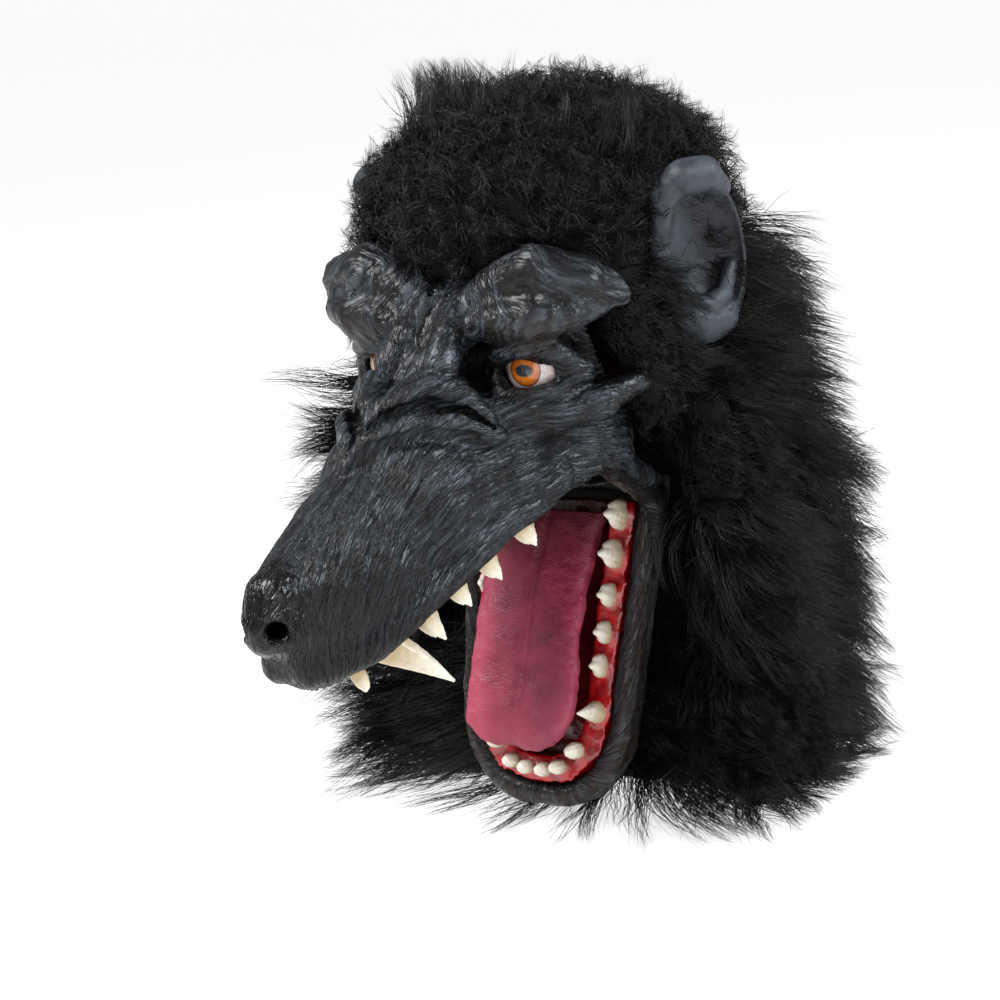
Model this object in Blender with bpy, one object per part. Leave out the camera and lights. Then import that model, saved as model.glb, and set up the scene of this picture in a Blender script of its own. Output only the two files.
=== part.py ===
"""Latex werewolf mask with a faux-fur hood, mouth wide open: the moulded face and jaw, their red
linings, the tongue, 34 teeth, two eyes, two ears and the five panels of the hood.

Everything is drawn in millimetres from the point of the fur's widow's peak, between the brows
(+X the mask's own left, -Y where it faces, +Z up), and place() carries that into the part's frame,
whose origin is the middle of the plane that the hood stands on. The soft moulded shapes are
fields, negative inside, that mesh_of() turns into closed meshes.
"""

import math

import bpy
import numpy as np

# The part's frame
PEAK_HEIGHT = 300.0  # widow's peak over the hood's bottom edge
PEAK_FORWARD = 19.0  # widow's peak in front of the middle of the length
MM = 0.001

# Latex
SKIN = 4.5  # wall of the face and jaw
GAP = 1.2  # between neighbouring pieces
FIELD_STEP = 1e-6

# Upper jaw: the lip line climbs from the nose to the mouth's corner, then drops to the hinge
CORNER_Y, CORNER_Z = 20.0, -90.5
LIP_SLOPE, CORNER_SLOPE = 0.382, -0.57
LIP_EDGE = 3.0  # the lips end this far under the lip line
LIP_Y = (-165, -150, -128, -100, -84, -62, -40, -19, 0, 20, 45, 90)
LIP_HALF_WIDTH = (12, 19, 25, 30, 34, 39, 43, 48, 53, 57, 60, 60)
GUM_WIDTH = 15.0
PALATE_RISE = 13.0

# Brows and the back edge of the face
BROW_TOP, BROW_TOP_X, BROW_SPREAD = 28.0, 46.0, 24.0
FACE_BACK, FACE_BACK_SLOPE = 14.0, 0.45
FACE_FOOT = -122.0  # below this the hood closes in under the face

# Eyes
EYE = (42.0, 6.0, -38.5)
EYE_RADIUS = 17.5

# Lower jaw: its own axes run along it from the throat (s) and up out of its floor (n)
JAW_ROOT = (0.0, 76.0, -133.0)
JAW_DROOP = math.radians(72.8)
JAW_LENGTH = 163.0
JAW_STRAIGHT = 110.0  # where the chin's curve starts
JAW_HALF_WIDTH = 61.0
JAW_NARROWING = 0.065
JAW_DEPTH = 27.0
JAW_SQUARENESS = 2.4
RIM_RADIUS = 6.0
GUM_TOP = 5.0
LOWER_GUM_WIDTH = 14.0
JAW_FLOOR = -13.0

# Hinges, as (y, z)
JAW_HINGE = (80.0, -116.0)
TONGUE_HINGE = (78.0, -138.0)

# Tongue
TONGUE_LENGTH, TONGUE_HALF_WIDTH, TONGUE_HALF_DEPTH = 131.0, 29.0, 10.0
TONGUE_TIP = 25.0
TONGUE_RISE = 20.0

# Hood: outlines by height, outside of the pile
HOOD_Z = (-300, -215, -130, -90, -50, 0, 40)
HOOD_HALF_WIDTH = (117, 121, 120, 117, 111, 101, 94)
HOOD_FRONT = (85, 91, 106, 60, 20, 0, -9)
HOOD_BACK = (214, 222, 216, 209, 203, 196, 188)
DOME_Z, DOME_HEIGHT = 28.0, 64.0
PILE, CROWN_PILE, BIB_PILE = 26.0, 16.0, 16.0
RUFF = (((96, 80, -75), 19), ((102, 90, -150), 26), ((101, 96, -240), 27), ((99, 98, -330), 26))
CROWN_SEAM, SIDE_SEAM, BACK_SEAM, BIB_TOP = 5.0, 70.0, 165.0, -137.0
SEAM = 2.0

# Ears
EAR = (95.0, 80.0, 4.0)
EAR_TURN = math.radians(21)
EAR_LEAN = math.radians(8)
EAR_SIZE = (10.0, 30.0, 47.0)

# Teeth: name, place along the row, length, radius at the gum and how far the tip leans out
UPPER_TEETH = (
    ("incisor_1", -145, 8, 2.7, 0.1), ("incisor_2", -142, 9, 3.0, 0.2), ("incisor_3", -134, 12, 3.6, 0.4),
    ("canine", -113, 37, 7.4, 1.1), ("cheek_tooth_1", -90, 19, 5.2, 0.75), ("cheek_tooth_2", -69, 15, 4.9, 0.7),
    ("cheek_tooth_3", -48, 16, 5.2, 0.7), ("cheek_tooth_4", -22, 15, 5.6, 0.65),
)  # fmt: skip
LOWER_TEETH = (
    ("incisor_1", 143.5, 9, 3.4, 0.0), ("incisor_2", 141, 9.5, 3.5, 0.0), ("incisor_3", 131, 11, 3.9, 0.0),
    ("canine", 109, 17, 5.6, -0.1), ("cheek_tooth_1", 84, 10, 4.2, -0.1), ("cheek_tooth_2", 66, 10, 4.0, -0.1),
    ("cheek_tooth_3", 46, 11, 4.2, -0.1), ("cheek_tooth_4", 24, 15, 5.2, -0.1), ("cheek_tooth_5", 3, 14, 5.4, -0.1),
)  # fmt: skip
UPPER_INCISOR_X = {"incisor_1": 4.0, "incisor_2": 11.0, "incisor_3": 17.0}
LOWER_INCISOR_X = {"incisor_1": 5.5, "incisor_2": 15.0, "incisor_3": 25.0}
TOOTH_SIDES, TOOTH_RINGS = 8, 4


# ---- fields -------------------------------------------------------------------------------------


def soft_union(a, b, blend):
    h = np.clip(0.5 + 0.5 * (b - a) / blend, 0, 1)
    return b + (a - b) * h - blend * h * (1 - h)


def ball(p, centre, radii):
    """Distance to an ellipsoid, close enough near its surface."""
    q = p - np.asarray(centre, float)
    near = np.linalg.norm(q / radii, axis=-1)
    slope = np.linalg.norm(q / np.square(radii), axis=-1)
    return near * (near - 1) / np.maximum(slope, FIELD_STEP)


def tube(p, stations):
    """Distance to a chain of tapered rods: ((x, y, z), radius) at each joint."""
    best = None
    for (a, ra), (b, rb) in zip(stations, stations[1:]):
        a, b = np.asarray(a, float), np.asarray(b, float)
        along = np.clip((p - a) @ (b - a) / ((b - a) @ (b - a)), 0, 1)
        d = np.linalg.norm(p - a - along[..., None] * (b - a), axis=-1) - (ra + (rb - ra) * along)
        best = d if best is None else np.minimum(best, d)
    return best


def lip_line(y, corner=True):
    rise = CORNER_Z + LIP_SLOPE * (y - CORNER_Y)
    drop = CORNER_Z + CORNER_SLOPE * (y - CORNER_Y)
    return np.where(y > CORNER_Y, drop, rise) if corner else rise


def brow_line(x):
    return BROW_TOP * np.exp(-(((np.abs(x) - BROW_TOP_X) / BROW_SPREAD) ** 2))


def face_back(z):
    return FACE_BACK - FACE_BACK_SLOPE * np.minimum(z, 0)


def both_sides(p):
    q = p.copy()
    q[..., 0] = np.abs(q[..., 0])
    return q


def face_form(p):
    """Brows, nose, muzzle and cheeks, as one solid form."""
    q = both_sides(p)
    form = ball(q, (0, 95, -10), (90, 90, 85))
    for centre, radii in (
        ((0, 34, -84), (70, 48, 54)),
        ((0, -15, -90), (55, 48, 46)),
        ((0, -60, -99), (44, 48, 52)),
        ((0, -105, -119), (34, 44, 46)),
        ((0, -137, -126), (25, 34, 36)),
    ):
        form = soft_union(form, ball(q, centre, radii), 12)
    bridge = (((0, -4, -14), 15), ((0, -46, -50), 15), ((0, -85, -79), 16), ((0, -148, -108), 15))
    brow = (((12, -4, -12), 11), ((28, -5, 1), 13), ((50, -3, 9), 15), ((72, 6, 4), 13), ((83, 18, -3), 8))
    cheekbone = (((12, -46, -50), 7), ((34, -30, -56), 8), ((56, -8, -60), 9), ((72, 14, -57), 9), ((82, 36, -51), 6))
    lip = (((10, -158, -146), 7), ((25, -128, -142), 7), ((34, -84, -125), 7.5), ((43, -40, -107), 7.5),
           ((53, 0, -93), 8), ((61, 35, -97), 8), ((63, 66, -112), 7))  # fmt: skip
    nose = (((0, -164, -110), 15), ((0, -169, -121), 15))
    wing = (((9, -164, -124), 9), ((8, -158, -133), 8))
    upper_lid = (((25, -10, -35), 4), ((33, -14, -27), 5), ((46, -14, -25), 6), ((58, -5, -29), 6), ((66, 8, -40), 5))
    lower_lid = (((25, -10, -40), 4), ((34, -15, -49), 5), ((46, -13, -51), 5), ((58, -5, -48), 5), ((66, 8, -42), 5))
    for stations, blend in ((bridge, 14), (brow, 9), (cheekbone, 8), (lip, 7), (nose, 6), (wing, 4),
                            (upper_lid, 5), (lower_lid, 5)):  # fmt: skip
        form = soft_union(form, tube(q, stations), blend)
    return form


def face_skin(p):
    x, y, z = np.moveaxis(p, -1, 0)
    form = face_form(p)
    skin = np.maximum(form, -(form + SKIN))
    skin = np.maximum(skin, lip_line(y) - LIP_EDGE - z)
    skin = np.maximum(skin, y - face_back(z))
    skin = np.maximum(skin, z - brow_line(x) + SEAM / 2)
    nostril = ball(both_sides(p), (10, -181, -120), (5, 9, 6))
    eye = ball(both_sides(p), EYE, (EYE_RADIUS + GAP,) * 3)
    return np.maximum(np.maximum(skin, -eye), -nostril)


def upper_mouth_lining(p):
    """Gum arch and palate in one casting, with the throat's curtain behind."""
    x, y, z = np.moveaxis(p, -1, 0)
    over_lip = z - lip_line(y, corner=False)
    half_width = np.interp(y, LIP_Y, LIP_HALF_WIDTH)
    inside = np.maximum(face_form(p) + SKIN + GAP, y - face_back(z))
    behind = np.maximum(np.abs(x) - 44, face_back(z) - 6 - y)
    arch = np.maximum(np.minimum(inside, behind), -over_lip - LIP_EDGE)
    arch = np.maximum(np.maximum(arch, over_lip - PALATE_RISE - 4), y - 86)
    vault = np.hypot(x / (half_width - GUM_WIDTH), (over_lip + LIP_EDGE) / PALATE_RISE)
    arch = np.maximum(arch, (1 - vault) * PALATE_RISE)
    curtain = np.maximum(np.abs(x) - 40, np.maximum(np.abs(y - 85) - 3, np.abs(z + 88) - 33))
    return np.minimum(arch, curtain)


def jaw_axes(p):
    """Across, along and up from the lower jaw's floor."""
    x, y, z = np.moveaxis(p - np.asarray(JAW_ROOT), -1, 0)
    cos, sin = math.cos(JAW_DROOP), math.sin(JAW_DROOP)
    return x, -cos * y - sin * z, -sin * y + cos * z


def jaw_half_width(s):
    return JAW_HALF_WIDTH - JAW_NARROWING * np.maximum(s, 0)


def jaw_plan(x, s):
    """Distance outside the jaw's outline, seen from above its teeth."""
    power, half_width = JAW_SQUARENESS, jaw_half_width(s)
    curve = np.maximum(s - JAW_STRAIGHT, 0) / (JAW_LENGTH - JAW_STRAIGHT)
    return ((np.abs(x / half_width) ** power + curve**power) ** (1 / power) - 1) * half_width


def jaw_form(x, s, n):
    """Distance outside the jaw's trough, whose underside is rounded."""
    power, half_width = JAW_SQUARENESS, jaw_half_width(s)
    curve = np.maximum(s - JAW_STRAIGHT, 0) / (JAW_LENGTH - JAW_STRAIGHT)
    sunk = np.maximum(-n, 0) / JAW_DEPTH
    size = (np.abs(x / half_width) ** power + curve**power + sunk**power) ** (1 / power)
    scale = half_width + (JAW_DEPTH - half_width) * np.clip(sunk**2, 0, 1)
    return (size - 1) * scale


def jaw_rim(x, s, n):
    return np.hypot(jaw_plan(x, s) + RIM_RADIUS, n + 1) - RIM_RADIUS


def jaw_skin(p):
    x, s, n = jaw_axes(p)
    form = jaw_form(x, s, n)
    skin = np.maximum(np.maximum(form, -(form + SKIN)), n)
    return np.maximum(np.minimum(skin, jaw_rim(x, s, n)), -16 - s)


def lower_mouth_lining(p):
    x, s, n = jaw_axes(p)
    solid = np.maximum(jaw_form(x, s, n) + SKIN + 2 * GAP, -(jaw_rim(x, s, n) - 1.5 * GAP))
    solid = np.maximum(solid, np.maximum(jaw_plan(x, s) + RIM_RADIUS, n - GUM_TOP))
    inner = jaw_plan(x, s) + 2 * RIM_RADIUS + LOWER_GUM_WIDTH
    hollow = np.maximum(inner, JAW_FLOOR - n)
    return np.maximum(np.maximum(solid, -hollow), -4 - s)


def tongue(p):
    x, s, n = jaw_axes(p)
    middle = -2.0 + TONGUE_RISE * (np.clip(s, 0, None) / TONGUE_LENGTH) ** 1.15
    end = np.maximum(s - TONGUE_LENGTH + TONGUE_TIP, 0) / TONGUE_TIP
    power = 2.5
    size = np.abs(x / TONGUE_HALF_WIDTH) ** power + np.abs((n - middle) / TONGUE_HALF_DEPTH) ** power + end**power
    groove = 2.5 * np.exp(-((x / 4) ** 2)) * (n > middle)
    return np.maximum((size ** (1 / power) - 1) * TONGUE_HALF_DEPTH + groove * 0.6, 3 - s)


def eye(p):
    return np.maximum(ball(p, EYE, (EYE_RADIUS,) * 3), p[..., 1] - EYE[1] - 3)


def ear_axes(p):
    """Out of the ear's cup, across it and up it."""
    x, y, z = np.moveaxis(p - np.asarray(EAR), -1, 0)
    out, across = math.cos(EAR_TURN) * x - math.sin(EAR_TURN) * y, math.sin(EAR_TURN) * x + math.cos(EAR_TURN) * y
    up = math.cos(EAR_LEAN) * z - math.sin(EAR_LEAN) * across
    return np.stack([out, math.cos(EAR_LEAN) * across + math.sin(EAR_LEAN) * z, up], -1)


def ear(p):
    q = ear_axes(p)
    shell = ball(q, (0, 0, 0), EAR_SIZE)
    cup = ball(q, (9, 0, 4), (12, EAR_SIZE[1] - 6, EAR_SIZE[2] - 10))
    fold = tube(q, (((1, -14, 38), 7), ((8, -2, 41), 9), ((8, 10, 36), 7)))
    root = tube(q, (((-2, -14, -30), 9), ((0, 6, -36), 9)))
    return soft_union(soft_union(np.maximum(shell, -cup), fold, 5), root, 6)


def outline(p, pile):
    """Distance outside the hood's envelope, less the pile."""
    x, y, z = np.moveaxis(p, -1, 0)
    level = np.minimum(z, DOME_Z)
    half_width = np.interp(level, HOOD_Z, HOOD_HALF_WIDTH) - pile
    front = np.interp(level, HOOD_Z, HOOD_FRONT) + pile
    back = np.interp(level, HOOD_Z, HOOD_BACK) - pile
    middle = np.interp(level, HOOD_Z, (150, 145, 140, 118, 108, 98, 90))
    depth = np.where(y < middle, middle - front, back - middle)
    power = np.interp(level, (-130, -60), (2.3, 2.0))
    over = np.maximum(z - DOME_Z, 0) / (DOME_HEIGHT - pile)
    size = (np.abs(x / half_width) ** power + np.abs((y - middle) / depth) ** power) ** (1 / power)
    size = np.hypot(size, over)
    scale = np.where(y < middle, np.minimum(half_width, depth), half_width)
    return (size - 1) * scale


def hood(p):
    """All of the fur, outside of the head's room and clear of the face, jaw and ears."""
    x, y, z = np.moveaxis(p, -1, 0)
    outer = soft_union(outline(p, 0), tube(both_sides(p), RUFF), 14)
    pile = np.where(z > CROWN_SEAM, CROWN_PILE, PILE)
    pile = np.where((np.abs(x) < SIDE_SEAM) & (y < 140) & (z < BIB_TOP + 5), BIB_PILE, pile)
    fur = np.maximum(outer, -outline(p, pile))
    face = np.maximum.reduce([z - brow_line(x) - SEAM, y - face_back(z) - SEAM, FACE_FOOT - z])
    ears = ear(both_sides(p)) - 2.0
    return np.maximum(np.maximum(np.maximum(fur, -face), -ears), -PEAK_HEIGHT - z)


def hood_crown(p):
    return np.maximum(hood(p), CROWN_SEAM + SEAM / 2 - p[..., 2])


def hood_side(p):
    x, y, z = np.moveaxis(p, -1, 0)
    return np.maximum.reduce([hood(p), z - CROWN_SEAM + SEAM / 2, SIDE_SEAM + SEAM / 2 - x, y - BACK_SEAM + SEAM / 2])


def hood_back(p):
    x, y, z = np.moveaxis(p, -1, 0)
    return np.maximum.reduce([hood(p), z - CROWN_SEAM + SEAM / 2, BACK_SEAM + SEAM / 2 - y])


def hood_bib(p):
    x, y, z = np.moveaxis(p, -1, 0)
    return np.maximum.reduce([hood(p), np.abs(x) - SIDE_SEAM + SEAM / 2, z - BIB_TOP, y - 140])


# ---- meshes -------------------------------------------------------------------------------------


def without_pinches(value, cell):
    """Fills the grid points that would make the surface touch itself along an edge."""
    value = value.copy()
    for _ in range(8):
        for axis in range(3):
            v = np.moveaxis(value, axis, 0)
            a, b, c, d = v[:, :-1, :-1], v[:, 1:, :-1], v[:, :-1, 1:], v[:, 1:, 1:]
            one = (a < 0) & (d < 0) & (b >= 0) & (c >= 0)
            other = (b < 0) & (c < 0) & (a >= 0) & (d >= 0)
            b[one] = c[one] = a[other] = d[other] = -0.1 * cell
    return value


def largest_body(points, quads):
    """Leaves out the crumbs that a cut leaves beside a body."""
    body = np.arange(len(points))
    ends = np.concatenate([quads[:, [i, (i + 1) % 4]] for i in range(4)])
    while True:
        joined = np.minimum(body[ends[:, 0]], body[ends[:, 1]])
        merged = body.copy()
        np.minimum.at(merged, ends[:, 0], joined)
        np.minimum.at(merged, ends[:, 1], joined)
        merged = merged[merged]
        if (merged == body).all():
            break
        body = merged
    kept = body == np.bincount(body).argmax()
    renumbered = np.cumsum(kept) - 1
    return points[kept], renumbered[quads[kept[quads[:, 0]]]]


def mesh_of(field, low, high, cell):
    """Points and quads of the surface where the field is zero: one point in each cell it crosses."""
    counts = np.ceil((np.array(high) - low) / cell).astype(int) + 1
    lines = [float(low[i]) + cell * np.arange(counts[i]) for i in range(3)]
    grid = np.stack(np.meshgrid(*lines, indexing="ij"), -1)
    value = without_pinches(field(grid), cell)
    total, number, crossings = np.zeros([*(counts - 1), 3]), np.zeros(counts - 1), []
    for axis in range(3):
        a, b = np.moveaxis(value, axis, 0)[:-1], np.moveaxis(value, axis, 0)[1:]
        crossing = (a < 0) != (b < 0)
        share = np.where(crossing, a / np.where(crossing, a - b, 1), 0)
        points = np.moveaxis(grid, axis, 0)[:-1].copy()
        points[..., axis] += share * cell
        crossing, points = np.moveaxis(crossing, 0, axis), np.moveaxis(points, 0, axis)
        starts_inside = np.moveaxis(a < 0, 0, axis)
        others = [i for i in range(3) if i != axis]
        for first in (0, 1):
            for second in (0, 1):
                part = [slice(None)] * 3
                part[others[0]] = slice(first, counts[others[0]] - 1 + first)
                part[others[1]] = slice(second, counts[others[1]] - 1 + second)
                number += crossing[tuple(part)]
                total += crossing[tuple(part)][..., None] * points[tuple(part)]
        crossings.append((axis, crossing, starts_inside))
    used = number > 0
    index = np.full(used.shape, -1)
    index[used] = np.arange(used.sum())
    quads = []
    for axis, crossing, starts_inside in crossings:
        u, v = (axis + 1) % 3, (axis + 2) % 3
        at = np.argwhere(crossing)
        corners = []
        for du, dv in ((1, 1), (0, 1), (0, 0), (1, 0)):
            cell_at = at.copy()
            cell_at[:, u] -= du
            cell_at[:, v] -= dv
            corners.append(index[tuple(cell_at.T)])
        quad = np.stack(corners, -1)
        outward = starts_inside[tuple(at.T)]
        quads.append(np.where(outward[:, None], quad, quad[:, ::-1]))
    return largest_body(total[used] / number[used][:, None], np.concatenate(quads))


def place(points):
    return (np.asarray(points, float) + (0, -PEAK_FORWARD, PEAK_HEIGHT)) * MM


def material(name, colour, roughness):
    made = bpy.data.materials.new(name)
    made.use_nodes = True
    shader = made.node_tree.nodes["Principled BSDF"]
    shader.inputs["Base Color"].default_value = (*colour, 1)
    shader.inputs["Roughness"].default_value = roughness
    shader.inputs["Metallic"].default_value = 0
    return made


def add_object(name, points, faces, surface, pivot=None, triangles=None):
    """A node with its origin on its joint's axis, when it has one, and a limit on its triangles."""
    origin = np.zeros(3) if pivot is None else place((0, *pivot))
    mesh = bpy.data.meshes.new(name)
    mesh.from_pydata((place(points) - origin).tolist(), [], [list(map(int, face)) for face in faces])
    mesh.materials.append(surface)
    obj = bpy.data.objects.new(name, mesh)
    obj.location = origin
    bpy.context.scene.collection.objects.link(obj)
    obj.modifiers.new("Triangles", "TRIANGULATE")
    if triangles:
        thin = obj.modifiers.new("Fewer triangles", "DECIMATE")
        thin.ratio = min(1, triangles / (2 * len(faces)))
    return obj


def add_form(name, field, low, high, cell, surface, triangles, pivot=None, mirrored_name=None):
    """A node from a field, and its twin on the other side."""
    points, quads = mesh_of(field, low, high, cell)
    add_object(name, points, quads, surface, pivot, triangles)
    if mirrored_name:
        add_object(mirrored_name, points * (-1, 1, 1), quads[:, ::-1], surface, pivot, triangles)


def add_tooth(name, base, tip, radius, bend, surface, pivot=None):
    """A cone that curves from its base to its tip; bend moves its middle."""
    base, tip, bend = (np.asarray(v, float) for v in (base, tip, bend))
    axis = (tip - base) / np.linalg.norm(tip - base)
    side = np.cross(axis, (0, 1, 0.3))
    side /= np.linalg.norm(side)
    other = np.cross(axis, side)
    points, faces = [], [list(range(TOOTH_SIDES))[::-1]]
    for ring in range(TOOTH_RINGS):
        t = ring / TOOTH_RINGS
        centre = base + (tip - base) * t + bend * math.sin(math.pi * t)
        reach = radius * (1 - t) ** 0.7
        for k in range(TOOTH_SIDES):
            turn = 2 * math.pi * k / TOOTH_SIDES
            points.append(centre + reach * (math.cos(turn) * side + math.sin(turn) * other))
    points.append(tip)
    for ring in range(TOOTH_RINGS):
        for k in range(TOOTH_SIDES):
            a, b = ring * TOOTH_SIDES + k, ring * TOOTH_SIDES + (k + 1) % TOOTH_SIDES
            if ring == TOOTH_RINGS - 1:
                faces.append((a, b, len(points) - 1))
            else:
                faces.append((a, b, b + TOOTH_SIDES, a + TOOTH_SIDES))
    add_object(name, points, faces, surface, pivot)


def add_upper_teeth(surface):
    for name, y, length, radius, lean in UPPER_TEETH:
        row_x = UPPER_INCISOR_X.get(name, np.interp(y, LIP_Y, LIP_HALF_WIDTH) - GUM_WIDTH / 2)
        down = LIP_EDGE + GAP + LIP_SLOPE * radius
        for side, word in ((1, "left"), (-1, "right")):
            base = np.array((side * row_x, y, lip_line(y) - down))
            aim = np.array((side * lean * 0.62, 0.55 * lean, -1.0))
            tip = base + aim / np.linalg.norm(aim) * length
            add_tooth(f"upper_{name}_{word}", base, tip, radius, (0, 0, -0.06 * length), surface)


def jaw_point(x, s, n):
    cos, sin = math.cos(JAW_DROOP), math.sin(JAW_DROOP)
    return np.asarray(JAW_ROOT) + (x, -cos * s - sin * n, -sin * s + cos * n)


def add_lower_teeth(surface):
    inset = 2 * RIM_RADIUS + LOWER_GUM_WIDTH / 2
    for name, s, length, radius, lean in LOWER_TEETH:
        row_x = LOWER_INCISOR_X.get(name, float(jaw_half_width(np.float64(s))) - inset)
        for side, word in ((1, "left"), (-1, "right")):
            base = jaw_point(side * row_x, s, GUM_TOP + 0.5)
            tip = jaw_point(side * (row_x + lean * length), s, GUM_TOP + 0.5 + length)
            add_tooth(f"lower_{name}_{word}", base, tip, radius, (0, 0, 0), surface, JAW_HINGE)


def main():
    for obj in list(bpy.data.objects):
        bpy.data.objects.remove(obj)
    latex = material("black_latex", (0.02, 0.022, 0.026), 0.42)
    gum = material("red_gum", (0.45, 0.008, 0.01), 0.25)
    flesh = material("tongue_latex", (0.36, 0.035, 0.075), 0.45)
    ivory = material("tooth_ivory", (0.78, 0.70, 0.55), 0.35)
    amber = material("eye_amber", (0.75, 0.22, 0.03), 0.12)
    ear_latex = material("ear_latex", (0.045, 0.052, 0.062), 0.5)
    fur = material("black_fur", (0.008, 0.008, 0.01), 0.6)

    add_form("face_skin", face_skin, (-104, -192, -168), (104, 70, 44), 2.5, latex, 5600)
    add_form("upper_mouth_lining", upper_mouth_lining, (-70, -172, -172), (70, 96, -36), 2.5, gum, 1900)
    add_form("jaw_skin", jaw_skin, (-70, 10, -312), (70, 116, -108), 2.5, latex, 2400, JAW_HINGE)
    add_form("lower_mouth_lining", lower_mouth_lining, (-60, 14, -300), (60, 110, -118), 2.5, gum, 1700, JAW_HINGE)
    add_form("tongue", tongue, (-36, -16, -280), (36, 96, -120), 2.5, flesh, 900, TONGUE_HINGE)
    add_form("eye_left", eye, (20, -18, -62), (64, 16, -14), 2.5, amber, 320, mirrored_name="eye_right")
    add_form("ear_left", ear, (50, 20, -60), (140, 140, 68), 2.5, ear_latex, 900, mirrored_name="ear_right")
    add_form("hood_crown", hood_crown, (-110, -20, -2), (110, 204, 112), 4, fur, 1500)
    add_form("hood_side_left", hood_side, (62, -20, -308), (150, 174, 12), 4, fur, 1500, mirrored_name="hood_side_right")
    add_form("hood_back", hood_back, (-142, 158, -308), (142, 246, 12), 4, fur, 1200)
    add_form("hood_bib", hood_bib, (-78, 70, -308), (78, 150, -128), 4, fur, 700)
    add_upper_teeth(ivory)
    add_lower_teeth(ivory)


main()
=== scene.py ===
"""Looks of the latex werewolf mask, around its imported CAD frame.

Lengths are millimetres from the fur's widow's peak (+X the mask's own left, -Y where it faces, +Z
up), as in the CAD's source; place() carries them into the part's frame in metres. Soft shapes are
fields, negative inside, meshed by mesh_of(), refined and settled back onto the field.
"""

import functools
import math

import bpy
import numpy as np
from mathutils import Matrix, Vector


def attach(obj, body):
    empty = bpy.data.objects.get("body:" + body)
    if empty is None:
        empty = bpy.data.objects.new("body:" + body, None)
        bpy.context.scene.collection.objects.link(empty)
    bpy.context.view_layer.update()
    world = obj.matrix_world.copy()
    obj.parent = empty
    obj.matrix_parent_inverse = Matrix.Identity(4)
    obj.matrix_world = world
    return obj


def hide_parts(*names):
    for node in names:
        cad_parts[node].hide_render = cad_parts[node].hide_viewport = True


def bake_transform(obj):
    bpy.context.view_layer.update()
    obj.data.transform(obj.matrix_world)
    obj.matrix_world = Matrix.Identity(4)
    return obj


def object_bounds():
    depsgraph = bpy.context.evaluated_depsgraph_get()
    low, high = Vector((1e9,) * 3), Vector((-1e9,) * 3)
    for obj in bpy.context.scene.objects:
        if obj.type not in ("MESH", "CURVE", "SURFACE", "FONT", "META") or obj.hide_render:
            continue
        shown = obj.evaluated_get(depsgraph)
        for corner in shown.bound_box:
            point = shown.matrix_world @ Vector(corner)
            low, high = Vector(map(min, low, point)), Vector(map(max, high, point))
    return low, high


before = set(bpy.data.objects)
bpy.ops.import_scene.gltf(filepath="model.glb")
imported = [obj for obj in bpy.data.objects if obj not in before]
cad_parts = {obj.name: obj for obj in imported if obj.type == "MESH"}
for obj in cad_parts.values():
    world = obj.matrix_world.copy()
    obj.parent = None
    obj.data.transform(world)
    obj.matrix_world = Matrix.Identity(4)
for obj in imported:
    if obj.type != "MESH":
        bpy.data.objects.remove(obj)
CAD_BOX = [list(corner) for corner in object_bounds()]

# The part's frame
PEAK_HEIGHT = 300.0  # widow's peak over the hood's bottom edge
PEAK_FORWARD = 19.0  # widow's peak in front of the middle of the length
MM = 0.001

# Latex
SKIN = 4.5  # wall of the face and jaw
GAP = 1.2  # between neighbouring pieces
TINY = 1e-6  # keeps divisions away from zero

# Upper jaw: the lip line climbs from the nose to the mouth's corner, then drops to the hinge
CORNER_Y, CORNER_Z = 20.0, -90.5
LIP_SLOPE, CORNER_SLOPE = 0.382, -0.57
LIP_EDGE = 3.0  # the lips end this far under the lip line
LIP_Y = (-165, -150, -128, -100, -84, -62, -40, -19, 0, 20, 45, 90)
LIP_HALF_WIDTH = (12, 19, 25, 30, 34, 39, 43, 48, 53, 57, 60, 60)
GUM_WIDTH = 15.0
PALATE_RISE = 13.0
ROOF = 4.0  # thickness over the palate
ARCH_BACK_HALF_WIDTH, ARCH_LAP, ARCH_END = 44.0, 6.0, 86.0  # the arch behind the face's edge
CURTAIN, CURTAIN_HALF_SIZE = (0.0, 85.0, -88.0), (40.0, 3.0, 33.0)  # closes the throat

# Brows and the back edge of the face
BROW_TOP, BROW_TOP_X, BROW_SPREAD = 28.0, 46.0, 24.0
FACE_BACK, FACE_BACK_SLOPE = 14.0, 0.45
FACE_FOOT = -122.0  # below this the hood closes in under the face

# Eyes
EYE = (42.0, 6.0, -38.5)
EYE_RADIUS = 17.5

# Lower jaw: its own axes run along it from the throat (s) and up out of its floor (n)
JAW_ROOT = (0.0, 76.0, -133.0)
JAW_DROOP = math.radians(72.8)
JAW_LENGTH = 163.0
JAW_STRAIGHT = 110.0  # where the chin's curve starts
JAW_HALF_WIDTH = 61.0
JAW_NARROWING = 0.065
JAW_DEPTH = 27.0
JAW_SQUARENESS = 2.4
RIM_RADIUS, RIM_DROP = 6.0, 1.0
GUM_TOP = 5.0
LOWER_GUM_WIDTH = 14.0
JAW_FLOOR = -13.0
LINING_START, JAW_START = -4.0, -20.0  # along the jaw, behind its root

# Tongue
TONGUE_LENGTH, TONGUE_HALF_WIDTH, TONGUE_HALF_DEPTH = 131.0, 29.0, 10.0
TONGUE_TIP = 25.0
TONGUE_RISE = 20.0

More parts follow.
